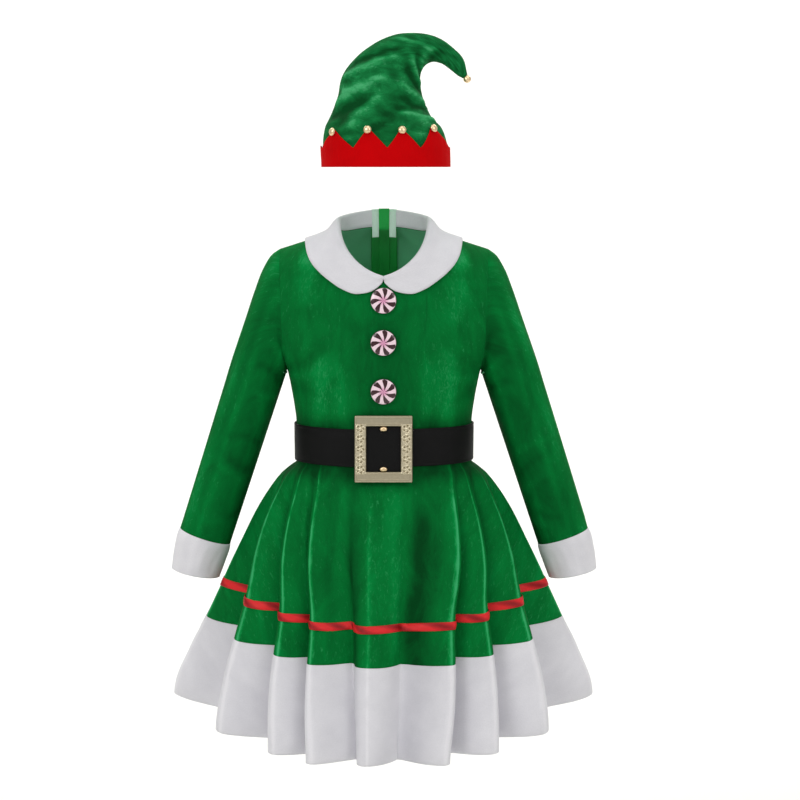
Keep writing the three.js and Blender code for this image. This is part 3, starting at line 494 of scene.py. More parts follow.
def bodiceHalf(shares, rises, side, sign):  # columns run out from the middle
    shares, rises = np.asarray(shares)[None], np.asarray(rises)[:, None]
    flat = shares * bodice["shoulderHalf"]
    inNeck = flat < bodice["neckHalf"] - 0.01
    topZ = np.where(inNeck, neckZ(flat, side), shoulderZ(flat, side))
    z = bodice["waistZ"] + (topZ - bodice["waistZ"]) * rises
    x = shares * (sideX(z) + (bodice["shoulderHalf"] - sideX(topZ)) * rises)
    p = torsoPoint(x, np.minimum(z, topZ), side)
    p[-1, :, 0] = np.where(inNeck[0], p[-1, :, 0], flat[0])
    p[-1, :, 1] = np.where(inNeck[0], p[-1, :, 1], 0)
    flatEdge = np.abs(p[..., 1]) < bodice["gap"] / 2
    p[..., 1] = np.where(flatEdge, side * bodice["gap"] / 2, p[..., 1])
    p[..., 0] = np.maximum(p[..., 0], bodice["backOpening"] / 2 if side > 0 else 0) * sign
    return p if sign > 0 else p[:, ::-1]


neckShare = bodice["neckHalf"] / bodice["shoulderHalf"]
frontTurns = np.linspace(0, 84, 19)
backTurns = np.linspace(96, 172.7, 19)
shoulderShares = neckShare + (1 - neckShare) * np.sin(np.radians(np.linspace(0, 90, 17)[1:]))
frontShares = np.concatenate([neckShare * np.sin(np.radians(frontTurns)), [neckShare], shoulderShares])
backShares = np.concatenate([[0], (neckShare * np.sin(np.radians(backTurns)))[::-1], [neckShare],
                             shoulderShares])
riseRows = [0, 0.14, 0.32, 0.48, 0.62, 0.75, 0.86, 0.93, 0.975, 1]
rises = np.interp(np.linspace(0, 9, 76), range(10), riseRows)

# Creases listed as from (x, z) to (x, z), half width, height, bow. They start at the armpits, hang
# under the bust and stand over the belt. Heights below 0 are troughs.
frontCreases = [
    ((-128, -184), (-74, -150), 7, -2.2, 5), ((-129, -196), (-70, -178), 6, 1.5, 4),
    ((-128, -210), (-84, -222), 7, -1.6, -4), ((128, -182), (80, -140), 7, -2.0, -6),
    ((129, -198), (74, -186), 6, 1.4, -5), ((126, -214), (88, -236), 7, -1.7, 4),
    ((-98, -276), (-88, -205), 8, 1.8, 4), ((-72, -280), (-76, -214), 6, -1.5, 3),
    ((92, -278), (96, -212), 8, 1.7, -4), ((66, -280), (74, -226), 6, -1.4, -3),
    ((-112, -60), (-104, -120), 8, -1.6, 5), ((114, -62), (108, -124), 8, -1.5, -6),
    ((-44, -282), (-50, -240), 5, 1.2, 2), ((50, -282), (44, -246), 5, 1.1, -2),
    ((-60, -110), (-20, -128), 9, -0.9, 5), ((24, -112), (66, -100), 9, -0.9, -5)]
backCreases = [
    ((-128, -186), (-70, -160), 7, -2.0, -6), ((-127, -206), (-82, -214), 6, 1.4, 4),
    ((128, -184), (76, -150), 7, -2.2, 6), ((127, -204), (80, -220), 6, 1.5, -3),
    ((-84, -280), (-76, -210), 7, 1.6, 4), ((88, -280), (82, -216), 7, 1.6, -4),
    ((-46, -282), (-42, -230), 6, -1.3, -3), ((46, -280), (50, -236), 6, -1.3, 3),
    ((-112, -64), (-100, -130), 8, -1.4, 4), ((112, -60), (104, -124), 8, -1.5, -4),
    ((-30, -150), (-64, -120), 9, -0.9, 4), ((30, -140), (60, -116), 9, -0.9, -4)]


# Painted light and shade, in the same form: broad painted highlights down both sides of the chest,
# and painted shade down its middle
chestPaintedLight = [
    ((-84, -158), (-74, -256), 15, 0.22, 3), ((-106, -60), (-98, -100), 18, 0.16, 2),
    ((-60, -176), (-56, -250), 8, 0.14, -2), ((86, -150), (76, -256), 15, 0.24, -3),
    ((106, -60), (96, -124), 18, 0.2, 2), ((60, -166), (56, -250), 8, 0.14, 2),
    ((-112, -34), (-84, -44), 14, 0.35, 0), ((112, -34), (84, -44), 14, 0.35, 0),
    ((0, -110), (0, -262), 34, -0.14, 0)]


def bodicePanel(node, grid, creases, seed):
    x, z = grid[..., 0], grid[..., 2]
    overBelt = np.clip((z + 268) / 22, 0, 1)
    height = soften(x, z, creases) * np.clip((z + 285) / 25, 0, 1) + ripple(x, z, seed, 60, 0.5) * overBelt
    # the side seams draw the cloth a little
    puckers = np.sin(z * 0.55 + np.sin(z * 0.13) * 2) * 0.25 * overBelt
    nearSide = np.exp(-((np.abs(x) - sideX(z)) / 9) ** 2) * (z < bodice["armpitZ"])
    shaped = wrinkled(grid, (height + puckers * nearSide * 2) * edgeFade(grid.shape, 5, 4))
    standingAndPaintedLight = 0.4 + soften(x, z, chestPaintedLight) + 0.05 * soften(x, z, creases)
    # painted shade along the top of the belt
    standingAndPaintedLight = standingAndPaintedLight - 0.25 * np.exp(-((z + 262) / 16) ** 2)
    piece = clothPiece(node + "_cloth", shaped, bodice["wall"], [dressVelvet, velvetBack],
                       pileAndPaintedLight=np.clip(standingAndPaintedLight, 0, 1))
    standsFor(node)
    layFlat(shaped)
    return piece


frontGrid = np.concatenate([bodiceHalf(frontShares, rises, -1, -1)[:, :-1],
                            bodiceHalf(frontShares, rises, -1, 1)], 1)
bodicePanel("bodice_front", frontGrid, frontCreases, 3)
bodicePanel("bodice_back_right", bodiceHalf(backShares, rises, 1, 1)[:, ::-1], backCreases, 5)
bodicePanel("bodice_back_left", bodiceHalf(backShares, rises, 1, -1)[:, ::-1], backCreases, 6)
print("bodice made")


# Sleeves and cuffs, drawn on the right arm and mirrored
sleeve = {"turn": (0.316, 0, -0.949), "out": (0.949, 0, 0.316), "underarm": (133.4, 0, -196), "length": 245,
          "cuffLength": 52, "slant": 4, "narrow": 6, "topWidth": 76.5, "wristWidth": 71.5, "topDeep": 38.5,
          "wristDeep": 33,
          "forward": -9, "sides": 96, "wall": 1.1, "cuffWall": 1.8}
capStations = [((133, -195.2), (188, -120), 41), ((132.7, -194), (175, -82), 43),
               ((132.4, -192.8), (163, -52), 45), ((132.1, -191.5), (151, -33.5), 47)]
armTurn, armOut = np.array(sleeve["turn"]), np.array(sleeve["out"])
aroundArm = np.linspace(0, 2 * math.pi, sleeve["sides"], endpoint=False)


def armLoop(under, over, deep, y):
    across = ((1 + np.cos(aroundArm)) / 2)[:, None]
    loop = np.array(under) * (1 - across) + np.array(over) * across
    loop[:, 1] = y + deep * np.sin(aroundArm)
    return loop


def armRing(distance, grow, slant=0.0, narrow=0.0):
    down = distance / sleeve["length"]
    inside = min(down, 1)
    under = np.array(sleeve["underarm"]) + armTurn * (distance - slant) - armOut * grow
    width = sleeve["topWidth"] + (sleeve["wristWidth"] - sleeve["topWidth"]) * inside + 2 * grow - narrow
    over = under + armOut * width + armTurn * 2 * slant
    deep = sleeve["topDeep"] + (sleeve["wristDeep"] - sleeve["topDeep"]) * inside + grow
    return armLoop(under, over, deep, sleeve["forward"] * down)


def armholeLoop():
    middle, half = (bodice["armpitZ"] + bodice["tipZ"]) / 2, (bodice["tipZ"] - bodice["armpitZ"]) / 2
    z = middle + half * np.cos(aroundArm)
    x = sideX(z)
    loop = np.where((np.sin(aroundArm) < 0)[:, None], torsoPoint(x, z, -1), torsoPoint(x, z, 1))
    loop[:, 0] += bodice["gap"]
    return loop


sleeveRows = [armRing(d, 0) for d in (sleeve["length"], 195, 140, 85, 35, 0)]
sleeveRows += [armLoop((a[0], 0, a[1]), (b[0], 0, b[1]), deep, 0) for a, b,
               deep in capStations] + [armholeLoop()]
sleeveGrid = smoothRows(sleeveRows, 110)
cuffGrid = smoothRows([armRing(sleeve["length"] + d, g, s, n) for d, g, s, n in (
    (sleeve["cuffLength"], 0.4, sleeve["slant"], sleeve["narrow"]), (26, 1.3, 2, 1.8), (4, 1.2, 0, 0),
    (0.3, 0.5, 0, 0))], 26)
mirror = np.array([-1, 1, 1])

# Sleeve creases as (turn round the arm in degrees, distance up from the cuff). Turn 0 is the outer
# side, 270 the front and 180 the side next to the body. They run round the elbow and into the armpit.
rightCreases = [
    ((300, 118), (205, 96), 6, -1.6, 6), ((305, 136), (215, 128), 6, 1.4, 5),
    ((290, 92), (200, 74), 5, 1.1, 4), ((280, 30), (225, 48), 6, -1.1, -4),
    ((250, 18), (190, 34), 5, 1.0, 4), ((212, 255), (262, 300), 7, -2.0, -7),
    ((205, 238), (276, 262), 6, 1.5, -5), ((200, 222), (268, 226), 6, -1.5, -4),
    ((150, 120), (80, 108), 7, -1.5, 5), ((155, 140), (95, 150), 6, 1.2, 4),
    ((150, 250), (95, 290), 7, -1.6, 5), ((330, 200), (322, 300), 8, 1.0, 3),
    ((240, 150), (250, 210), 8, -1.0, 4), ((130, 30), (70, 46), 6, -1.0, 4)]
leftCreases = [
    ((296, 126), (206, 106), 7, -1.7, -5), ((302, 104), (216, 84), 6, 1.3, 5),
    ((286, 146), (210, 146), 5, -1.1, 4), ((284, 24), (230, 38), 6, 1.1, -4),
    ((250, 34), (196, 52), 6, -1.2, -4), ((210, 250), (268, 288), 7, 1.8, -6),
    ((205, 232), (274, 250), 6, -1.8, -5), ((202, 214), (262, 214), 5, 1.2, 4),
    ((152, 132), (84, 122), 7, 1.4, 5), ((150, 108), (90, 96), 6, -1.3, 4),
    ((148, 246), (100, 280), 7, -1.7, -5), ((334, 190), (324, 286), 8, -1.1, 3),
    ((236, 160), (246, 216), 8, 1.1, -4), ((128, 36), (76, 50), 6, -1.0, -4)]


# Lines of painted light down the arm: turn, half width in degrees, and how much painted light lies there;
# below 0 it is painted shade
armPaintedLight = [(322, 20, 0.3), (285, 9, 0.16), (352, 5, 0.4), (60, 20, 0.3), (100, 9, 0.2),
            (232, 7, 0.1), (195, 20, -0.2)]
armDegree = 0.62  # millimetres round the arm to a degree


def armPiece(node, grid, wall, material, creases, seed, side, roll):
    degrees = np.degrees(aroundArm)[None] * np.ones((len(grid), 1))
    v = arcLengths(grid, True)[1][:, :-1]
    height = soften(degrees * armDegree, v, inMillimetres(creases, armDegree, 1))
    seam = np.abs(degrees % 360 - 180)
    wave = sum(np.sin(np.radians(degrees * k + seed * 50 + v * (0.9 - 0.2 * k))) for k in (2, 3, 5)) * roll
    height = (height + wave) * edgeFade(grid.shape, 6, 1, True) * np.clip(seam / 9, 0, 1)
    shaped = wrinkled(grid, height, True)
    if side < 0:
        shaped = (shaped * mirror)[:, ::-1]
    facing = degrees if side > 0 else degrees[:, ::-1]
    # painted light and shade, a little from the creases and more in lines round the arm
    standingAndPaintedLight = 0.28 + 0.06 * (height if side > 0 else height[:, ::-1])
    for turn, wide, high in armPaintedLight:
        away = np.abs((facing - turn + 180) % 360 - 180)
        fading = 0.75 + 0.25 * np.sin(v / 26 + turn + seed)
        standingAndPaintedLight = standingAndPaintedLight + high * np.exp(-(away / wide) ** 2) * fading
    # the white cuffs get more painted light
    if material == brushedWhite:
        standingAndPaintedLight = standingAndPaintedLight + 0.35
    lining = velvetBack if material == dressVelvet else material
    piece = clothPiece(node + "_cloth", shaped, wall, [material, lining], True, pileAndPaintedLight=np.clip(standingAndPaintedLight, 0, 1))
    standsFor(node)
    layFlat(shaped, True)


cuffCreases = [((262, 2), (256, 46), 5, 0.9, 2), ((232, 2), (226, 40), 5, -0.8, 2),
               ((100, 3), (108, 44), 6, -0.8, 2)]
for side, name, creases, seed in ((1, "right", rightCreases, 1), (-1, "left", leftCreases, 4)):
    armPiece("sleeve_" + name, sleeveGrid, sleeve["wall"], dressVelvet, creases, seed, side, 0.25)
    armPiece("cuff_" + name, cuffGrid, sleeve["cuffWall"], brushedWhite, cuffCreases, seed, side, 0.2)
print("sleeves made")


# Collar, drawn on the right half
collar = {"gap": 1.9, "wall": 2.0, "round": (56, 83, 43)}  # round the neck: half width, front, back
collarFront = {"turn": [0, 10, 20, 32, 44, 55, 65, 75, 83, 90],
               "x": [2, 9, 20, 36, 54, 70, 84, 95, 101, 105],
               "z": [-68, -74.5, -80, -82, -76, -66, -55, -43, -31, -15]}
collarBack = {"turn": [90, 100, 115, 130, 150, 166, 173],
              "x": [105, 102, 93, 75, 48, 22, 10],
              "z": [-15, -32, -46, -54, -58, -57, -50]}
collarStand = {"turn": [0, 45, 75, 90, 110, 130, 173], "height": [2.5, 4, 8, 12.5, 17, 19, 20]}
falls = {"share": [1, 0.9, 0.8, 0.7, 0.6, 0.5, 0.4, 0.32, 0.25, 0.19, 0.14],
         "lift": [0, 0, 0, 0, 0.01, 0.035, 0.1, 0.2, 0.35, 0.5, 0.66]}


def collarGrid(seed):
    turns = np.concatenate([90 * (1 - (1 - np.linspace(0, 1, 41)) ** 2),
                            90 + 82.7 * np.linspace(0, 1, 36)[1:] ** 2])
    flat, stands, necks, outs = [], [], [], []
    for turn in turns:
        side = -1 if turn <= 90 else 1
        neckX = bodice["neckHalf"] * max(math.sin(math.radians(turn)), 0.004)
        neck = torsoPoint(neckX, neckZ(neckX, side), side)
        onShoulder = abs(turn - 90) < 0.01
        if onShoulder:
            neck = np.array([bodice["neckHalf"], 0, 0])
        edge = collarFront if side < 0 else collarBack
        edgeX, edgeZ = readTable(edge, "turn", turn, "x"), readTable(edge, "turn", turn, "z")
        column = []
        for share in falls["share"]:
            x, z = neck[0] + (edgeX - neck[0]) * share, neck[2] + (edgeZ - neck[2]) * share
            column.append(np.array([x, 0, float(shoulderZ(x, -1))]) if onShoulder else torsoPoint(x, z, side))
        flat.append(column)
        wide, front, back = collar["round"]
        out = np.array([neck[0] / wide ** 2, neck[1] / (front if side < 0 else back) ** 2, 0])
        outs.append(out / np.linalg.norm(out))
        necks.append(neck)
        stands.append(float(readTable(collarStand, "turn", turn, "height")))
    flat = np.array(flat).transpose(1, 0, 2)
    stands, necks, outs = np.array(stands), np.array(necks), np.array(outs)
    normal = normalsOf(flat)
    lift = np.array(falls["lift"])[:, None] * (stands[None] + 1)
    wave = ripple(turns[None] * 1.3, np.arange(len(lift))[:, None] * 5.0, seed, 45, 0.35)
    wave = np.abs(wave) * edgeFade(flat.shape, 1, 4)
    lower = flat + normal * (collar["gap"] + collar["wall"] + lift + wave)[..., None]
    upper = []
    for out, up in ((6.2, 1.6), (5.2, 2.5), (4, 3), (2.4, 3.1), (1, 2.6), (-0.3, 1.7), (-1, 0.6),
                    (-1.35, -1.5)):
        upper.append(necks + outs * out + np.array([0, 0, 1]) * (stands + up)[:, None])
    foot = necks + outs * (-1.7) + np.array([0, 0, 0.45])
    lowest = upper[-1]
    upper += [lowest * (1 - t) + foot * t for t in (0.35, 0.7, 1)]
    grid = np.concatenate([lower, np.array(upper)])
    grid[..., 0] = np.maximum(grid[..., 0], 0.3)
    return grid


for side, name, seed in ((1, "right", 11), (-1, "left", 14)):
    grid = collarGrid(seed)
    if side < 0:
        grid = (grid * mirror)[:, ::-1]
    piece = clothPiece(f"collar_{name}_cloth", grid, collar["wall"], [brushedWhite, brushedWhite], pileAndPaintedLight=0.7)
    end = slice(-3, None) if side > 0 else slice(0, 3)  # a binding strip inside the end beside the zip
    inside = (grid + normalsOf(grid) * 0.7)[14:, end]  # the rows that stand inside the neck
    hanging = [inside[-1] + np.array([0, -0.06, -1]) * drop for drop in (3, 6, 9, 12, 15)]
    strip = smoothRows(np.concatenate([inside, np.array(hanging)])[::-1], 30)
    clothPiece(f"collar_strip_{name}", strip[:, ::-1], 0.5, [mintSatin, mintSatin])
    standsFor("collar_" + name)
    layFlat(grid)
print("collar made")


# Skirt, hem band and ribbon
skirt = {"gap": 0.3, "liftPower": 2.5, "lean": 0.25, "skew": 0.6, "skewTurn": 5,
         "ribbonTop": 203, "ribbonBottom": 212.5, "bandTop": 253, "hem": 366,
         "wall": 1.1, "bandWall": 1.7, "ribbonWall": 0.5, "columnsPerFold": 40, "foldWidth": 60}
flareTable = {"down": [0, 14, 22, 34, 56, 95, 140, 203, 250, 300, 366],
              "side": [0, 0.1, 8.5, 20, 32.5, 49.5, 66, 88, 108, 128, 146],
              "front": [0, 0.1, 1.5, 5, 20, 46, 72, 100, 120, 141, 167],
              "fold": [0, 0, 0.3, 1, 3, 6, 9, 13, 16, 19, 22],
              "lift": [0, 0, 1, 3, 7, 15, 23, 35, 34, 41, 49],
              "spread": [0, 0, 0.04, 0.15, 0.32, 0.5, 0.7, 1, 1.1, 1.2, 1.35]}
# Fold ridges as (turn at the waist, turn at the ribbon, depth); most of the front ones start at the hips
ridges = [
    (-103, -103, 0.9), (-89, -78, 1), (-75, -54.5, 1.05), (-61, -37.5, 0.9), (-45, -24.5, 1),
    (-8, -5, 0.55), (48, 23.5, 1), (60, 38, 0.9), (76, 54.5, 1.05), (89, 78, 1), (103, 103, 0.9),
    (124, 124, 1), (143, 143, 0.85), (162, 162, 1), (182, 182, 0.95), (202, 202, 0.85), (221, 221, 1),
    (238, 238, 0.9)]
ridgeTops, ridgeTurns, ridgeDepths = (np.array([r[n] for r in ridges] + [ridges[0][n] + whole], float)
                                      for n, whole in ((0, 360), (1, 360), (2, 0)))
waistHalf = float(readTable(torso, "z", bodice["waistZ"], "half"))


def skirtGrid(downs, firstRidge, ridgeCount, sharp):
    k = np.arange(-0.5, ridgeCount - 0.5 + 1e-9, 1 / skirt["columnsPerFold"]) + firstRidge
    ridge = np.floor(k + 1e-9).astype(int) % len(ridges)
    share = (k - np.floor(k + 1e-9))[None]
    down = np.asarray(downs, float)[:, None]
    spread = readTable(flareTable, "down", down, "spread")
    start = ridgeTops[ridge] + (ridgeTurns[ridge] - ridgeTops[ridge]) * spread
    end = ridgeTops[ridge + 1] + (ridgeTurns[ridge + 1] - ridgeTops[ridge + 1]) * spread
    turn = np.radians(start + (end - start) * share)
    depth = ridgeDepths[ridge] + (ridgeDepths[ridge + 1] - ridgeDepths[ridge]) * share
    sine, cosine = np.sin(turn), np.cos(turn)
    deep = np.where(cosine > 0, torso["front"][0], torso["back"][0])
    atSide = sine ** 2
    front, side = readTable(flareTable, "down", down, "front"), readTable(flareTable, "down", down, "side")
    fold = readTable(flareTable, "down", down, "fold") * depth
    wave = 1 - 2 * (np.sin(math.pi * share) ** 2) ** 1.2
    crest = np.exp(-(np.minimum(share, 1 - share) / 0.07) ** 2)  # a ridge is a little keener than the solid's
    outX, outY = sine / waistHalf, -cosine / deep
    long = np.hypot(outX, outY)
    outX, outY = outX / long, outY / long
    reach = front + (side - front) * atSide + fold * (wave + sharp * crest)
    outward = np.clip(skirt["skewTurn"] * sine * cosine, -1, 1)  # ridges lean over towards the sides
    slide = fold * (skirt["lean"] * np.sin(2 * math.pi * share)
                    + skirt["skew"] * outward * np.cos(2 * math.pi * share))
    lift = readTable(flareTable, "down", down, "lift") * np.abs(sine) ** skirt["liftPower"]
    z = bodice["waistZ"] - skirt["gap"] - down + lift
    x = waistHalf * sine + outX * reach - outY * slide
    y = -deep * cosine + outY * reach + outX * slide
    return np.stack([x, y, np.broadcast_to(z, x.shape)], -1), k, down


def trimmed(grid):
    cut = grid.copy()
    for edge, beside in ((0, 1), (-1, -2)):
        step = grid[:, beside] - grid[:, edge]
        cut[:, edge] += step / np.linalg.norm(step, axis=1, keepdims=True) * skirt["gap"] / 2
    return cut


# Smaller folds that die out before the hem or start below the belt, as (ridge number, down) from and to
smallFolds = [
    ((1.4, 30), (1.55, 190), 0.10, 1.6, 0.02), ((2.45, 24), (2.5, 150), 0.09, -1.4, 0.02),
    ((3.35, 22), (3.45, 205), 0.09, 1.7, 0), ((4.3, 20), (4.2, 230), 0.08, -1.8, 0.02),
    ((4.75, 26), (4.7, 200), 0.08, 1.4, 0), ((5.3, 24), (5.35, 240), 0.08, 1.8, -0.02),
    ((5.6, 60), (5.55, 250), 0.09, -2.0, 0.02), ((6.4, 20), (6.3, 180), 0.08, 1.5, 0),
    ((7.5, 22), (7.45, 200), 0.09, -1.6, 0.02), ((8.4, 24), (8.5, 150), 0.09, 1.5, -0.02),
    ((9.6, 28), (9.5, 180), 0.09, -1.5, 0), ((0.5, 28), (0.45, 180), 0.09, 1.4, 0),
    ((11.4, 24), (11.5, 190), 0.09, 1.6, 0), ((12.5, 22), (12.4, 230), 0.09, -1.6, 0.02),
    ((13.4, 26), (13.5, 160), 0.08, 1.5, 0), ((14.5, 22), (14.4, 220), 0.09, 1.7, -0.02),
    ((15.5, 24), (15.6, 180), 0.09, -1.5, 0), ((16.5, 24), (16.4, 200), 0.09, 1.5, 0),
    ((10.5, 26), (10.6, 170), 0.09, 1.4, 0)]


def foldedGrid(downs, firstRidge, ridgeCount, seed):
    grid, k, down = skirtGrid(downs, firstRidge, ridgeCount, 0.1)
    mm = skirt["foldWidth"]
    lines = inMillimetres(smallFolds, mm, mm)
    u = k[None] * mm + down * 0
    below = np.clip((down - 16) / 50, 0, 1)
    hemSway = np.sin(k[None] * 2 * math.pi * 2 + seed) * 2.2 * np.clip((down - 150) / 216, 0, 1) ** 2
    height = soften(u, down, lines) * below + (ripple(u, down * 0.5, seed, 120, 0.7) + hemSway) * below
    ends = np.clip(np.minimum(k - k[0], k[-1] - k)[None] / 0.12, 0, 1)
    shaped = wrinkled(grid, height * ends)
    share = (k - np.floor(k + 1e-9))[None]
    near = np.minimum(share, 1 - share)
    out = np.clip(down / 120, 0.35, 1)
    side = np.where((ridgeTurns[np.floor(k + 1e-9).astype(int) % len(ridges)] % 180) < 90, 1, -1)[None]
    hollow = np.where(side > 0, share, 1 - share)  # painted shade goes in the hollow, which lies behind the outer side of a ridge
    # painted highlight: a thin pale line along each ridge, weaker on the shallow folds
    ridgeHighlight = np.where(ridgeDepths[np.round(k).astype(int) % len(ridges)] < 0.8, 0.25, 0.9)[None]
    ridgeHighlight = ridgeHighlight * (0.85 + ripple(u * 3, down, seed + 3, 26, 0.3))
    edge = np.exp(-(near / (0.03 - 0.014 * np.clip(down / skirt["hem"], 0, 1))) ** 2)
    # painted light on the ridge lines and painted shade in the hollows; the return also paints shade just
    # under the belt
    standingAndPaintedLight = 0.44 + out * (ridgeHighlight * edge - 0.3 * np.exp(-((hollow - 0.3) / 0.16) ** 2)) + 0.05 * height * ends
    return trimmed(shaped), np.clip(standingAndPaintedLight - 0.3 * np.exp(-((down - 18) / 16) ** 2), 0, 1)


velvetDowns = np.concatenate([np.linspace(skirt["bandTop"] - skirt["gap"], 40, 52), np.linspace(37, 0, 16)])
bandDowns = np.linspace(skirt["hem"], skirt["bandTop"], 30)
for name, firstRidge, seed in (("front", 1, 21), ("back", 10, 25)):
    both, standingAndPaintedLight = foldedGrid(np.concatenate([bandDowns, velvetDowns]), firstRidge, 9, seed)
    bandGrid, velvetGrid = both[:len(bandDowns)], both[len(bandDowns):]
    # the hem band takes the same painted light and shade, made paler
    bandLight, velvetLight = standingAndPaintedLight[:len(bandDowns)] * 0.9 + 0.25, standingAndPaintedLight[len(bandDowns):]
    velvet = clothPiece(f"skirt_{name}_cloth", velvetGrid, skirt["wall"], [dressVelvet, velvetBack],
                        shift=(0, 400), pileAndPaintedLight=velvetLight)
    standsFor("skirt_" + name)
    layFlat(velvetGrid)
    bandOut = bandGrid + normalsOf(bandGrid) * 0.4
    band = clothPiece(f"hem_band_{name}_cloth", bandOut, skirt["bandWall"], [brushedWhite, brushedWhite],
                      pileAndPaintedLight=bandLight)
    standsFor("hem_band_" + name)
    layFlat(bandOut)
    # the ribbon follows the cloth, proud of it, and curls a little between stitches
    normal = normalsOf(velvetGrid)
    rows = []
    for t in np.linspace(0, 1, 7):
        want = skirt["ribbonBottom"] + (skirt["ribbonTop"] - skirt["ribbonBottom"]) * t
        i = np.searchsorted(-velvetDowns, -want) - 1
        share = (velvetDowns[i] - want) / (velvetDowns[i] - velvetDowns[i + 1])
        at = velvetGrid[i] * (1 - share) + velvetGrid[i + 1] * share
        out = normal[i] * (1 - share) + normal[i + 1] * share
        count = np.arange(len(at))
        curl = 0.7 * np.sin(count * 0.4 + 2 * np.sin(count * 0.08)) * (2 * t - 1)
        curl = curl + 0.3 * np.sin(count * 0.9 + seed) ** 2
        rows.append(at + out * (0.75 + 0.5 * math.sin(math.pi * t) + curl)[:, None]
                    + np.array([0, 0, 1]) * (0.5 * np.sin(count * 0.23 + seed))[:, None])
    ribbonGrid = np.array(rows)
    # painted light and shade along the ribbon: bright and dark by turns with its crimp
    twist = np.linspace(0, 1, 7)[:, None] * 3.2 + count[None] * 0.4 + 2 * np.sin(count[None] * 0.08)
    paintedCrimpLight = 0.6 + 0.6 * np.sin(twist) * np.sin(math.pi * np.linspace(0.15, 0.85, 7))[:, None]
    ribbon = clothPiece(f"ribbon_{name}_satin", ribbonGrid, skirt["ribbonWall"], [satinRed, satinRed],
                        pileAndPaintedLight=paintedCrimpLight)
    standsFor("ribbon_" + name)
    layFlat(ribbonGrid)
print("skirt made")


# Belt
belt = {"top": -262, "bottom": -312, "gap": 0.6, "wall": 2.5, "sides": 192}


def waistRing(z, out):
    a = np.linspace(0, 2 * math.pi, belt["sides"], endpoint=False)
    half = readTable(torso, "z", z, "half") + out
    deep = np.where(np.cos(a) > 0, readTable(torso, "z", z, "front"), readTable(torso, "z", z, "back")) + out
    return np.stack([half * np.sin(a), -deep * np.cos(a), np.full(len(a), float(z))], 1)


beltGrid = np.array([waistRing(z, belt["gap"] + belt["wall"] + swell) for z, swell in (
    (belt["bottom"], -0.3), (-311, 0), (-309.5, 0.1), (-308.6, -0.25), (-307.8, 0), (-298, 0.05),
    (-287, 0.1), (-276, 0.05), (-266.2, 0), (-265.4, -0.25), (-264.5, 0.1), (-263, 0),
    (belt["top"], -0.3))])
turn = np.linspace(0, 2 * math.pi, belt["sides"], endpoint=False)
beltGrid[..., 2] += (0.35 * np.sin(turn * 2 + 0.6) + 0.2 * np.sin(turn * 5))[None]
strap = clothPiece("belt_strap", beltGrid, belt["wall"] - 0.3, [beltBlack, beltBlack], True)
standsFor("belt")
layFlat(beltGrid, True)
print("belt made")


# Buckle: a cast frame whose faces are a map of heights
buckle = {"z": -287, "halfWide": 38.5, "halfTall": 44.5, "windowWide": 22.5, "windowTall": 30, "thick": 4.5,
          "backing": 1.0, "gap": 0.3, "backY": -91.6, "tilt": 4, "step": 0.5, "corner": 2.5, "pitch": 13.6,
          "cardWide": 33, "cardTall": 39}


def onBuckle(points):  # points as x, height up the buckle, distance forward of the backing's back
    tilt = math.radians(buckle["tilt"])
    points = np.asarray(points, float)
    up, forward = points[..., 1], points[..., 2]
    y = -forward * math.cos(tilt) + up * math.sin(tilt)
    z = forward * math.sin(tilt) + up * math.cos(tilt)
    return np.stack([points[..., 0], y + buckle["backY"], z + buckle["z"]], -1)


def buckleFace(x, z):  # height of the frame's face over its back
    outer = np.minimum(buckle["halfWide"] - np.abs(x), buckle["halfTall"] - np.abs(z))
    inner = np.maximum(np.abs(x) - buckle["windowWide"], np.abs(z) - buckle["windowTall"])
    rim = np.clip(np.minimum(outer, inner) / 2.2, 0, 1)
    face = buckle["thick"] - 1.9 + 1.5 * np.sqrt(1 - (1 - rim) ** 2)
    onSide = (np.abs(x) > buckle["windowWide"]) & (np.abs(z) < buckle["windowTall"] + 3)
    barX = np.abs(x) - (buckle["windowWide"] + buckle["halfWide"]) / 2
    pitch = buckle["pitch"]
    along = (z + 100 * pitch + pitch / 2) % pitch - pitch / 2
    away = np.hypot(barX, along)
    spin = np.arctan2(along, barX * np.sign(x))
    petals = np.cos(5 * spin + away * 0.9) * np.exp(-((away - 3.8) / 1.6) ** 2)
    heart = np.exp(-(away / 1.4) ** 2)
    leaf = np.exp(-((np.abs(along) - pitch / 2) / 1.3) ** 2) * np.cos(barX * 1.3) ** 2
    ring = np.exp(-((away - 5.7) / 0.7) ** 2)
    relief = 1.0 * petals + 1.2 * heart + 0.7 * leaf + 0.7 * ring
    border = np.exp(-((np.abs(barX) - 6.3) / 0.7) ** 2) * 0.5
    groove = -0.35 * np.exp(-((np.minimum(outer, inner) - 3.4) / 0.6) ** 2)  # a line round the plain bars
    inside = np.clip(np.minimum(outer, inner) / 1.5, 0, 1)
    return np.minimum(face + np.where(onSide, (relief + border) * 0.8, groove) * inside,
                      buckle["thick"] + 0.9)


def stepsOver(window, half, count):  # fine steps over both bars, even ones over the window between them
    bar = np.arange(window, half + 0.01, buckle["step"])
    return np.concatenate([-bar[::-1], np.linspace(-window, window, count)[1:-1], bar])


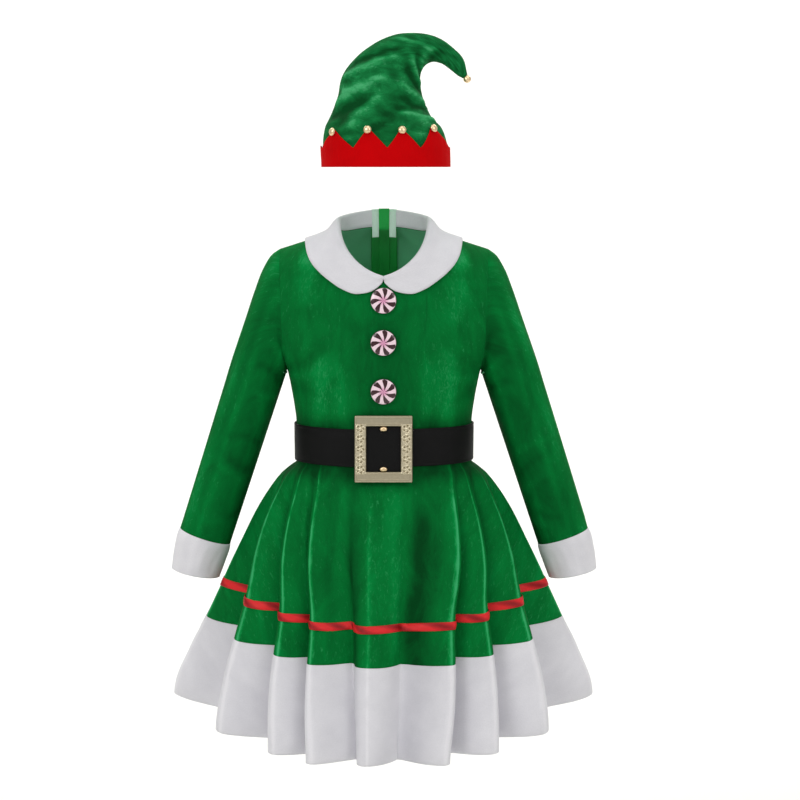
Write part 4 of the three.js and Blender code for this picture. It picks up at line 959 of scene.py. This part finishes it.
def cutFrame():
    x, z = np.meshgrid(stepsOver(buckle["windowWide"], buckle["halfWide"], 61),
                       stepsOver(buckle["windowTall"], buckle["halfTall"], 121))
    low = buckle["backing"] + buckle["gap"]
    top = low + buckleFace(x, z)
    rows, columns = x.shape
    near = np.clip((np.abs(z) - (buckle["halfTall"] - buckle["corner"])) / buckle["corner"], 0, 1)
    rounded = x * (1 - near ** 2 * 0.03 * (np.abs(x) > buckle["halfWide"] - buckle["corner"]))
    front = onBuckle(np.stack([rounded, z, top], -1)).reshape(-1, 3)
    back = onBuckle(np.stack([rounded, z, np.full(x.shape, low)], -1)).reshape(-1, 3)
    k = np.arange(rows - 1)[:, None] * columns + np.arange(columns - 1)[None]
    centreX, centreZ = (x[:-1, :-1] + x[1:, 1:]) / 2, (z[:-1, :-1] + z[1:, 1:]) / 2
    solid = (np.abs(centreX) > buckle["windowWide"]) | (np.abs(centreZ) > buckle["windowTall"])
    k = k[solid]
    size = rows * columns
    front4 = np.stack([k, k + 1, k + 1 + columns, k + columns], 1)
    faces = np.concatenate([front4, front4[:, ::-1] + size])
    edges = np.concatenate([front4[:, [a, (a + 1) % 4]] for a in range(4)])
    seen = set(map(tuple, edges.tolist()))
    walls = [(b, a, a + size, b + size) for a, b in edges.tolist() if (b, a) not in seen]
    allFaces = faces.tolist() + walls
    points = np.concatenate([front, back])
    used = np.unique(np.array([i for f in allFaces for i in f]))
    renumber = np.full(len(points), -1)
    renumber[used] = np.arange(len(used))
    allFaces = [[int(renumber[i]) for i in f] for f in allFaces]
    flat = np.concatenate([np.stack([x, z], -1).reshape(-1, 2)] * 2)[used]
    # how high the relief stands, which sets its painted shade
    raised = ((top - low - buckle["thick"] + 1.3) / 1.1).ravel()
    return finishMesh("buckle_cast_frame", points[used], allFaces, flat, [castChampagne], sharp=50,
                      pileAndPaintedLight=np.concatenate([raised, np.ones(size)])[used])


castFrame = cutFrame()
standsFor("buckle_frame")


# A turned piece: its profile as (radius, height), set in place by a function of its points
def turned(name, profile, sides, place, materials, squash=(1, 1)):
    a = np.linspace(0, 2 * math.pi, sides, endpoint=False)
    rings = [np.stack([r * np.cos(a) * squash[0], r * np.sin(a) * squash[1], np.full(sides, h)], 1)
             for r, h in profile]
    points = np.concatenate(rings)
    flat = points[:, :2].copy()
    faces = []
    for j in range(len(profile) - 1):
        for i in range(sides):
            n = (i + 1) % sides
            faces.append((j * sides + i, j * sides + n, (j + 1) * sides + n, (j + 1) * sides + i))
    faces.append(tuple(range(sides))[::-1])
    faces.append(tuple(range((len(profile) - 1) * sides, len(profile) * sides)))
    return finishMesh(name, place(points), faces, flat, materials)


def archProfile(radius, rim, height, rings):  # a rim that rises straight, then a dome
    a = np.radians(np.linspace(0, 88, rings))
    return [(radius * 0.86, 0), (radius * 0.97, rim * 0.12), (radius, rim * 0.4)] + [
        (radius * math.cos(t), rim + (height - rim) * math.sin(t)) for t in a]


studForward = buckle["backing"] + buckle["gap"]
studReach = buckle["windowTall"] - 3.2 - buckle["gap"]
for name, z in (("top", studReach), ("bottom", -studReach)):
    stud = turned(f"buckle_rivet_{name}", archProfile(3.2, 2.7, 5.4, 8), 28,
                  lambda p, z=z: onBuckle(p + np.array([0, z, studForward])), [polishedBrass],
                  squash=(1.5625, 1))
    standsFor("buckle_stud_" + name)


def backingPlate():  # black card behind the window, with a faintly padded face
    wide, tall = buckle["cardWide"], buckle["cardTall"]
    x, z = np.meshgrid(np.linspace(-wide, wide, 45), np.linspace(-tall, tall, 53))
    face = 1.0 - 0.25 * np.clip(1 - np.minimum(wide - np.abs(x), tall - np.abs(z)) / 2, 0, 1) ** 2
    front = onBuckle(np.stack([x, z, face], -1))
    return clothPiece("buckle_backing_card", front, 0.9, [beltBlack, beltBlack])


card = backingPlate()
standsFor("buckle_backing")
print("buckle made")


# Candy buttons
# Acrylic, cast and printed under a clear domed face: a pinwheel of seven dark arms on pinkish white,
# with a painted shadow as a dark ring round its rim
def pinwheelAcrylic():
    material, tree, principled = newMaterial("castAcrylicPinwheel", Roughness=0.22, Coat_Weight=0.35,
                                             Coat_Roughness=0.1)
    place = addNode(tree, "ShaderNodeUVMap", uv_map="clothMap").outputs["UV"]
    axes = addNode(tree, "ShaderNodeSeparateXYZ", {"Vector": place})
    spin = figure(tree, "ARCTAN2", axes.outputs["Y"], axes.outputs["X"])
    away = addNode(tree, "ShaderNodeVectorMath", {0: place}, operation="LENGTH").outputs["Value"]
    bend = figure(tree, "MULTIPLY", away, -150.0)
    arms = figure(tree, "MULTIPLY_ADD", spin, 7.0, bend)
    wave = figure(tree, "SINE", arms)
    # the arms start as points near the middle and widen to the rim
    edge = remap(tree, away, 0.0015, 0.0095, 0.9, -0.12)
    # and end rounded, a little way inside it
    cap = remap(tree, away, 0.0150, 0.0170, 0.0, 1.2, kind="SMOOTHSTEP")
    bound = figure(tree, "ADD", edge, cap)
    arm = figure(tree, "SUBTRACT", wave, bound)
    inArm = remap(tree, arm, -0.08, 0.08, kind="SMOOTHSTEP")
    blush = remap(tree, away, 0.002, 0.009, kind="SMOOTHSTEP")
    cloud = addNode(tree, "ShaderNodeTexNoise", {"Vector": place, "Scale": 260.0, "Detail": 3})
    ground = mixed(tree, blush, linear("#E79FC4"), linear("#FADFEA"))
    dark = mixed(tree, cloud.outputs["Fac"], linear("#240810"), linear("#43101F"))
    painted = mixed(tree, inArm, ground, dark)
    # painted shadow: a dark ring round the rim
    paintedRimShadow = remap(tree, away, 0.0160, 0.0170, kind="SMOOTHSTEP")
    rimShadowed = mixed(tree, paintedRimShadow, painted, linear("#2A1218"))
    tree.links.new(rimShadowed, principled.inputs["Base Color"])
    moulded = bump(tree, inArm, 0.4, 0.0004)
    tree.links.new(moulded, principled.inputs["Normal"])
    return material


pinwheel = pinwheelAcrylic()
candy = {"radius": 17.2, "height": 6, "rim": 2.6, "proud": 0.5,
         "places": (("top", -91), ("middle", -146), ("bottom", -210.5))}
for name, z in candy["places"]:
    seat, above, below = (torsoPoint(0, z + dz, -1)[1] for dz in (0, candy["radius"], -candy["radius"]))
    lean = math.atan2(above - below, 2 * candy["radius"])
    forward = max(-seat, -(above + below) / 2) + candy["proud"]

    def onChest(p, lean=lean, forward=forward, z=z):  # its own height faces forward and leans with the chest
        up, out = p[:, 1], p[:, 2]
        return np.stack([p[:, 0], -forward - out * math.cos(lean) + up * math.sin(lean),
                         z + up * math.cos(lean) + out * math.sin(lean)], 1)

    dome = archProfile(candy["radius"], candy["rim"], candy["height"], 14)
    button = turned(f"candy_pinwheel_{name}", dome, 84, onChest, [pinwheel])
    standsFor("candy_button_" + name)
print("buttons made")


# Hat
hatTable = {"outX": [-81.3, -82, -78.5, -69.8, -61.7, -56, -44.2, -24, 6.7, 36, 67, 92, 107.8, 112],
            "outZ": [84, 110, 137, 156, 178, 204, 222, 240.6, 257, 262, 258, 243, 225, 207],
            "inX": [87, 86, 77, 66, 59, 52, 49, 50, 56, 65.2, 77, 89, 100, 106],
            "inZ": [84, 110, 137, 148, 160, 178, 196, 209, 219, 223.5, 221.6, 213.5, 205, 202],
            "deep": [76, 72, 66, 58, 51, 45, 39, 33, 27, 22, 17, 12, 8.5, 3.6]}
zigzag = {"turn": [0, 13, 38, 61, 76, 92, 107, 123, 142, 170, 180],
          "rise": [28, 24, 48, 24, 50, 24, 49, 24, 51, 24, 26]}
hat = {"gap": 0.3, "wall": 1.1, "bandGap": 1.4, "bandWall": 1.5, "rows": 120}


def hatArc(section, side, turns):  # half of one section; side is -1 for the front
    outX, outZ, inX, inZ, deep = section
    turns = turns if side < 0 else turns[::-1]
    across = (1 - np.cos(turns)) / 2
    y = side * np.maximum(np.sin(turns) * deep, hat["gap"] / 2)
    return np.stack([outX + (inX - outX) * across, y, outZ + (inZ - outZ) * across], -1)


hatTurns = np.radians(np.linspace(0, 180, 121))
sections = list(zip(*(hatTable[column] for column in ("outX", "outZ", "inX", "inZ", "deep"))))
# Hat creases as (share from the outer seam to the inner one, height up the cloth in mm)
frontFolds = [
    ((0.06, 82), (0.52, 128), 0.055, 3.0, 0.03), ((0.04, 62), (0.42, 96), 0.05, -2.6, 0.03),
    ((0.08, 108), (0.5, 160), 0.05, 2.4, 0.02), ((0.1, 128), (0.44, 176), 0.045, -2.2, 0.03),
    ((0.3, 50), (0.5, 104), 0.045, 2.0, -0.02), ((0.42, 44), (0.62, 92), 0.045, -2.0, 0.02),
    ((0.95, 66), (0.6, 78), 0.05, 2.8, 0.02), ((0.96, 84), (0.58, 100), 0.05, -2.4, 0.02),
    ((0.96, 100), (0.62, 128), 0.05, 2.6, -0.02), ((0.96, 116), (0.66, 156), 0.05, -2.6, -0.02),
    ((0.95, 128), (0.6, 176), 0.05, 2.4, 0.03), ((0.95, 142), (0.5, 196), 0.045, -2.0, 0.02),
    ((0.94, 160), (0.5, 214), 0.05, 2.0, 0), ((0.2, 52), (0.24, 92), 0.045, -1.6, 0.02),
    ((0.72, 40), (0.8, 70), 0.05, 1.6, 0), ((0.92, 190), (0.4, 232), 0.06, -1.6, 0),
    ((0.2, 176), (0.6, 214), 0.05, 1.8, 0.02), ((0.14, 96), (0.3, 100), 0.04, 1.6, 0)]
backFolds = [
    ((0.06, 78), (0.5, 118), 0.055, 2.8, -0.03), ((0.05, 98), (0.46, 140), 0.05, -2.4, 0.03),
    ((0.08, 120), (0.5, 168), 0.05, 2.2, 0.02), ((0.3, 48), (0.44, 94), 0.045, -1.8, 0.02),
    ((0.5, 46), (0.6, 98), 0.045, 1.8, 0.02), ((0.95, 70), (0.62, 86), 0.05, -2.4, -0.02),
    ((0.96, 90), (0.6, 112), 0.05, 2.6, 0.02), ((0.96, 108), (0.64, 144), 0.05, -2.4, 0.02),
    ((0.95, 126), (0.6, 172), 0.05, 2.4, -0.03), ((0.95, 146), (0.5, 200), 0.045, -1.9, 0.02),
    ((0.94, 168), (0.5, 220), 0.05, 1.9, 0), ((0.2, 50), (0.2, 88), 0.045, 1.6, 0.02),
    ((0.16, 150), (0.55, 196), 0.05, -1.8, 0.02)]


def hatPanel(side):
    return smoothRows([hatArc(section, side, hatTurns) for section in sections], hat["rows"])


for name, side, folds, seed in (("front", -1, frontFolds, 31), ("back", 1, backFolds, 34)):
    grid = hatPanel(side)
    share = np.linspace(0, 1, grid.shape[1])[None] if side < 0 else np.linspace(1, 0, grid.shape[1])[None]
    up = arcLengths(grid)[1].mean(1)[:, None]
    size = np.clip((up[-1] - up) / 130, 0.25, 1)
    height = soften(share * 100, up, inMillimetres(folds, 100, 100))
    # painted light and shade from the creases, with small painted blotches
    standingAndPaintedLight = np.clip(0.42 + 0.17 * height + 0.1 * ripple(share * 120, up, seed + 5, 16, 1.0), 0, 1)
    height = (height + ripple(share * 120, up, seed, 34, 0.55)) * size * np.clip((up - 26) / 30, 0, 1)
    grid = wrinkled(grid, height * edgeFade(grid.shape, 5, 6))
    crown = clothPiece(f"hat_crown_{name}_cloth", grid, hat["wall"], [hatVelvet, velvetBack], pileAndPaintedLight=standingAndPaintedLight)
    standsFor("hat_crown_" + name)
    layFlat(grid)
print("hat crown made")

rimZ = hatTable["outZ"][0]
lower = {column: hatTable[column][:5] for column in hatTable}


def sectionAt(rise):
    return [rimZ + rise if column == "outZ" else float(readTable(lower, "outZ", rimZ + rise, column))
            for column in ("outX", "outZ", "inX", "inZ", "deep")]


def bandPoint(rise, side, turn, out):
    def place(r, t):
        return hatArc(sectionAt(r), side, np.array([t]))[0]

    at = place(rise, turn)
    around = place(rise, min(turn + 0.02, math.pi)) - place(rise, max(turn - 0.02, 0))
    below = place(max(rise - 2, 0 if side < 0 else -2), turn)
    normal = np.cross(-side * around, place(rise + 2, turn) - below)
    normal = normal / max(np.linalg.norm(normal), 1e-9)
    if turn < 0.01 or turn > math.pi - 0.01:
        normal[1] = 0
        normal = normal / max(np.linalg.norm(normal), 1e-9)
    moved = at + normal * out
    moved[1] = side * max(side * moved[1], hat["gap"] / 2)
    return moved


for name, side, seed in (("front", -1, 41), ("back", 1, 43)):
    turns = np.linspace(0, 180, 145)
    turns = turns if side < 0 else turns[::-1]
    grid = []
    for t in np.linspace(0, 1, 26):
        row = []
        for turn in turns:
            top = np.interp(turn, zigzag["turn"], zigzag["rise"])
            push = 0.35 * math.sin(turn * 0.16 + seed) * t + 0.25 * math.sin(turn * 0.45 + seed) * t
            row.append(bandPoint(top * t, side, math.radians(turn),
                                 hat["bandGap"] + hat["bandWall"] + abs(push)))
        grid.append(row)
    grid = np.array(grid)
    band = clothPiece(f"hat_band_{name}_cloth", grid, hat["bandWall"] - 0.2, [pileRed, pileRed])
    standsFor("hat_band_" + name)
    layFlat(grid)
print("hat band made")

bell = {"radius": 5.5, "height": 6.5}


def bellProfile(angles, ridge, middle, tall):  # two stamped halves meet in a raised line round the middle
    rows = []
    for a in np.radians(angles):
        bulge = ridge * math.exp(-(math.degrees(a) / 7) ** 2)
        rows.append(((bell["radius"] - ridge + bulge) * math.cos(a) + 0.02, middle + tall * math.sin(a)))
    return rows


def faceTo(points, direction, place):
    direction = np.array(direction, float) / np.linalg.norm(direction)
    side = np.cross([0, 0, 1] if abs(direction[2]) < 0.9 else [0, 1, 0], direction)
    side = side / np.linalg.norm(side)
    up = np.cross(direction, side)
    return points[:, :1] * side + points[:, 1:2] * up + points[:, 2:] * direction + np.array(place)


for name, side in (("front", -1), ("back", 1)):
    for i, k in enumerate([n for n, rise in enumerate(zigzag["rise"]) if rise > 40]):
        turn, rise = np.array([math.radians(zigzag["turn"][k])]), zigzag["rise"][k]
        seat, under = hatArc(sectionAt(rise - 3), side, turn)[0], hatArc(sectionAt(rise - 15), side, turn)[0]
        upHat = (seat - under) / np.linalg.norm(seat - under)
        level = np.array([(seat[0] - 2.8) / 80 ** 2, seat[1] / 70 ** 2, 0])
        out = level - upHat * level.dot(upHat)
        out = out / np.linalg.norm(out)
        at = seat + out * (hat["bandGap"] + hat["bandWall"] + 0.6)
        profile = bellProfile(np.linspace(-82, 88, 24), 0.35, bell["height"] / 2, 3.1)
        piece = turned(f"bell_{name}_{i + 1}", profile, 32, lambda p, o=out, at=at: faceTo(p, o, at),
                       [polishedBrass])
        standsFor(f"hat_bell_{name}_{i + 1}")
tipOut = np.array([0.62, 0, -0.78]) / math.hypot(0.62, 0.78)
tipMiddle = [(hatTable["outX"][-1] + hatTable["inX"][-1]) / 2, 0,
             (hatTable["outZ"][-1] + hatTable["inZ"][-1]) / 2]
tipSeat = np.array(tipMiddle) + tipOut * (bell["radius"] - 1)
tipProfile = bellProfile(np.linspace(-86, 86, 28), 0.3, 0, 5.3)
tipBell = turned("bell_tip", tipProfile, 32, lambda p: faceTo(p, tipOut, tipSeat), [polishedBrass])
standsFor("hat_bell_tip")
print("bells made")


# Zip in the centre back
zipParts = {"tapeHalf": 18, "tapeWall": 1.0, "guardHalf": 7.1, "guardTop": 27, "inside": 2.4,
            "sliderZ": -5, "slope": 44, "sliderThick": 2.4, "standOff": 0.5,
            "pullThick": 1.2, "pullLength": 20, "pullGap": 0.4, "pullDrop": 2.4, "lean": 6}
stripRises = np.interp(np.linspace(0, 9, 60), range(10), riseRows)


def backStrip(xs, depth, topDrop):
    bottom = bodice["waistZ"] + 2
    columns = [torsoPoint(x, bottom + (float(neckZ(abs(x), 1)) - topDrop - bottom) * stripRises, 1)
               for x in xs]
    grid = np.array(columns).transpose(1, 0, 2)
    return grid - normalsOf(grid) * depth


for name, xs in (("right", np.linspace(zipParts["tapeHalf"], 0.8, 9)),
                 ("left", np.linspace(-0.8, -zipParts["tapeHalf"], 9))):
    grid = backStrip(xs, zipParts["inside"], 0.5)
    tape = clothPiece(f"zip_tape_{name}_cloth", grid, zipParts["tapeWall"] - 0.2, [tapeCloth, tapeCloth])
    standsFor("zip_tape_" + name)
    layFlat(grid)
guardGrid = backStrip(np.linspace(zipParts["guardHalf"], -zipParts["guardHalf"], 13),
                      zipParts["inside"] + zipParts["tapeWall"] + 0.4, 0.5)
standingAndPaintedLight = [guardGrid[-1] * (1 - t) + (guardGrid[-1] * [1, 1, 0] + [0, -0.5, zipParts["guardTop"]]) * t
            for t in np.linspace(0.1, 1, 12)]
guardGrid = np.concatenate([guardGrid, np.array(standingAndPaintedLight)])
across = np.linspace(-1, 1, 13)[None]
guardGrid = wrinkled(guardGrid, 0.25 * across ** 2)
guard = clothPiece("zip_guard_cloth", guardGrid, 1.2, [tapeCloth, tapeCloth])
standsFor("zip_guard")
layFlat(guardGrid)


def onSlope(points, z, away, lean=0):  # x, height, thickness laid on the slope of the upper back
    slope = math.radians(zipParts["slope"])
    own = slope - math.radians(lean)
    seat = torsoPoint(0, zipParts["sliderZ"], 1)[1]
    up, out = points[:, 1], points[:, 2]
    y = seat - (z - zipParts["sliderZ"]) * math.tan(slope) + away * math.cos(slope)
    z = z + away * math.sin(slope)
    return np.stack([points[:, 0], y + out * math.cos(own) - up * math.sin(own),
                     z + out * math.sin(own) + up * math.cos(own)], 1)


def outlinePlate(name, outline, thick, place, ridesOn, dome):
    outline = np.array(outline, float)
    centre = outline.mean(0)
    layers = [(0.93, 0), (1.0, thick * 0.15), (1.0, thick * 0.85), (0.93, thick), (0.6, thick + dome),
              (0.25, thick + dome * 1.2)]
    points = np.concatenate([np.concatenate([centre + (outline - centre) * s,
                                             np.full((len(outline), 1), h)], 1)
                             for s, h in layers])
    n = len(outline)
    faces = [tuple(range(n))[::-1]]
    for j in range(len(layers) - 1):
        faces += [(j * n + i, j * n + (i + 1) % n, (j + 1) * n + (i + 1) % n, (j + 1) * n + i)
                  for i in range(n)]
    faces.append(tuple(range((len(layers) - 1) * n, len(layers) * n)))
    return finishMesh(name, place(points), faces, points[:, :2], [polishedBrass], ridesOn=ridesOn, sharp=50)


def arc(cx, cy, rx, ry, start, end, count):
    return [(cx + rx * math.cos(a), cy + ry * math.sin(a))
            for a in np.radians(np.linspace(start, end, count))]


sliderShape = arc(0, 1.5, 2.8, 2.5, 0, 180, 16) + [
    (-2.7, 0), (-2.3, -2.2), (-1.8, -4.5), (1.8, -4.5), (2.3, -2.2), (2.7, 0)]
slider = outlinePlate("zip_slider_body", sliderShape, zipParts["sliderThick"] - 0.3,
                      lambda p: onSlope(p, zipParts["sliderZ"], zipParts["standOff"]), body, 0.3)
standsFor("zip_slider")
length = zipParts["pullLength"]
pullShape = (arc(0, -length + 3, 3, 3, 180, 360, 18) + [(2.4, -length * 0.5)]
             + arc(0, -0.6, 1.7, 1.2, 0, 180, 12) + [(-2.4, -length * 0.5)])
pullAway = zipParts["standOff"] + zipParts["sliderThick"] + zipParts["pullGap"] + zipParts["pullThick"] / 2
pull = outlinePlate("zip_pull_tab", pullShape, zipParts["pullThick"] - 0.1,
                    lambda p: onSlope(p - [0, 0, zipParts["pullThick"] / 2],
                                      zipParts["sliderZ"] - zipParts["pullDrop"],
                                      pullAway, zipParts["lean"]), pullBody, 0.05)
standsFor("zip_pull")
print("zip made")
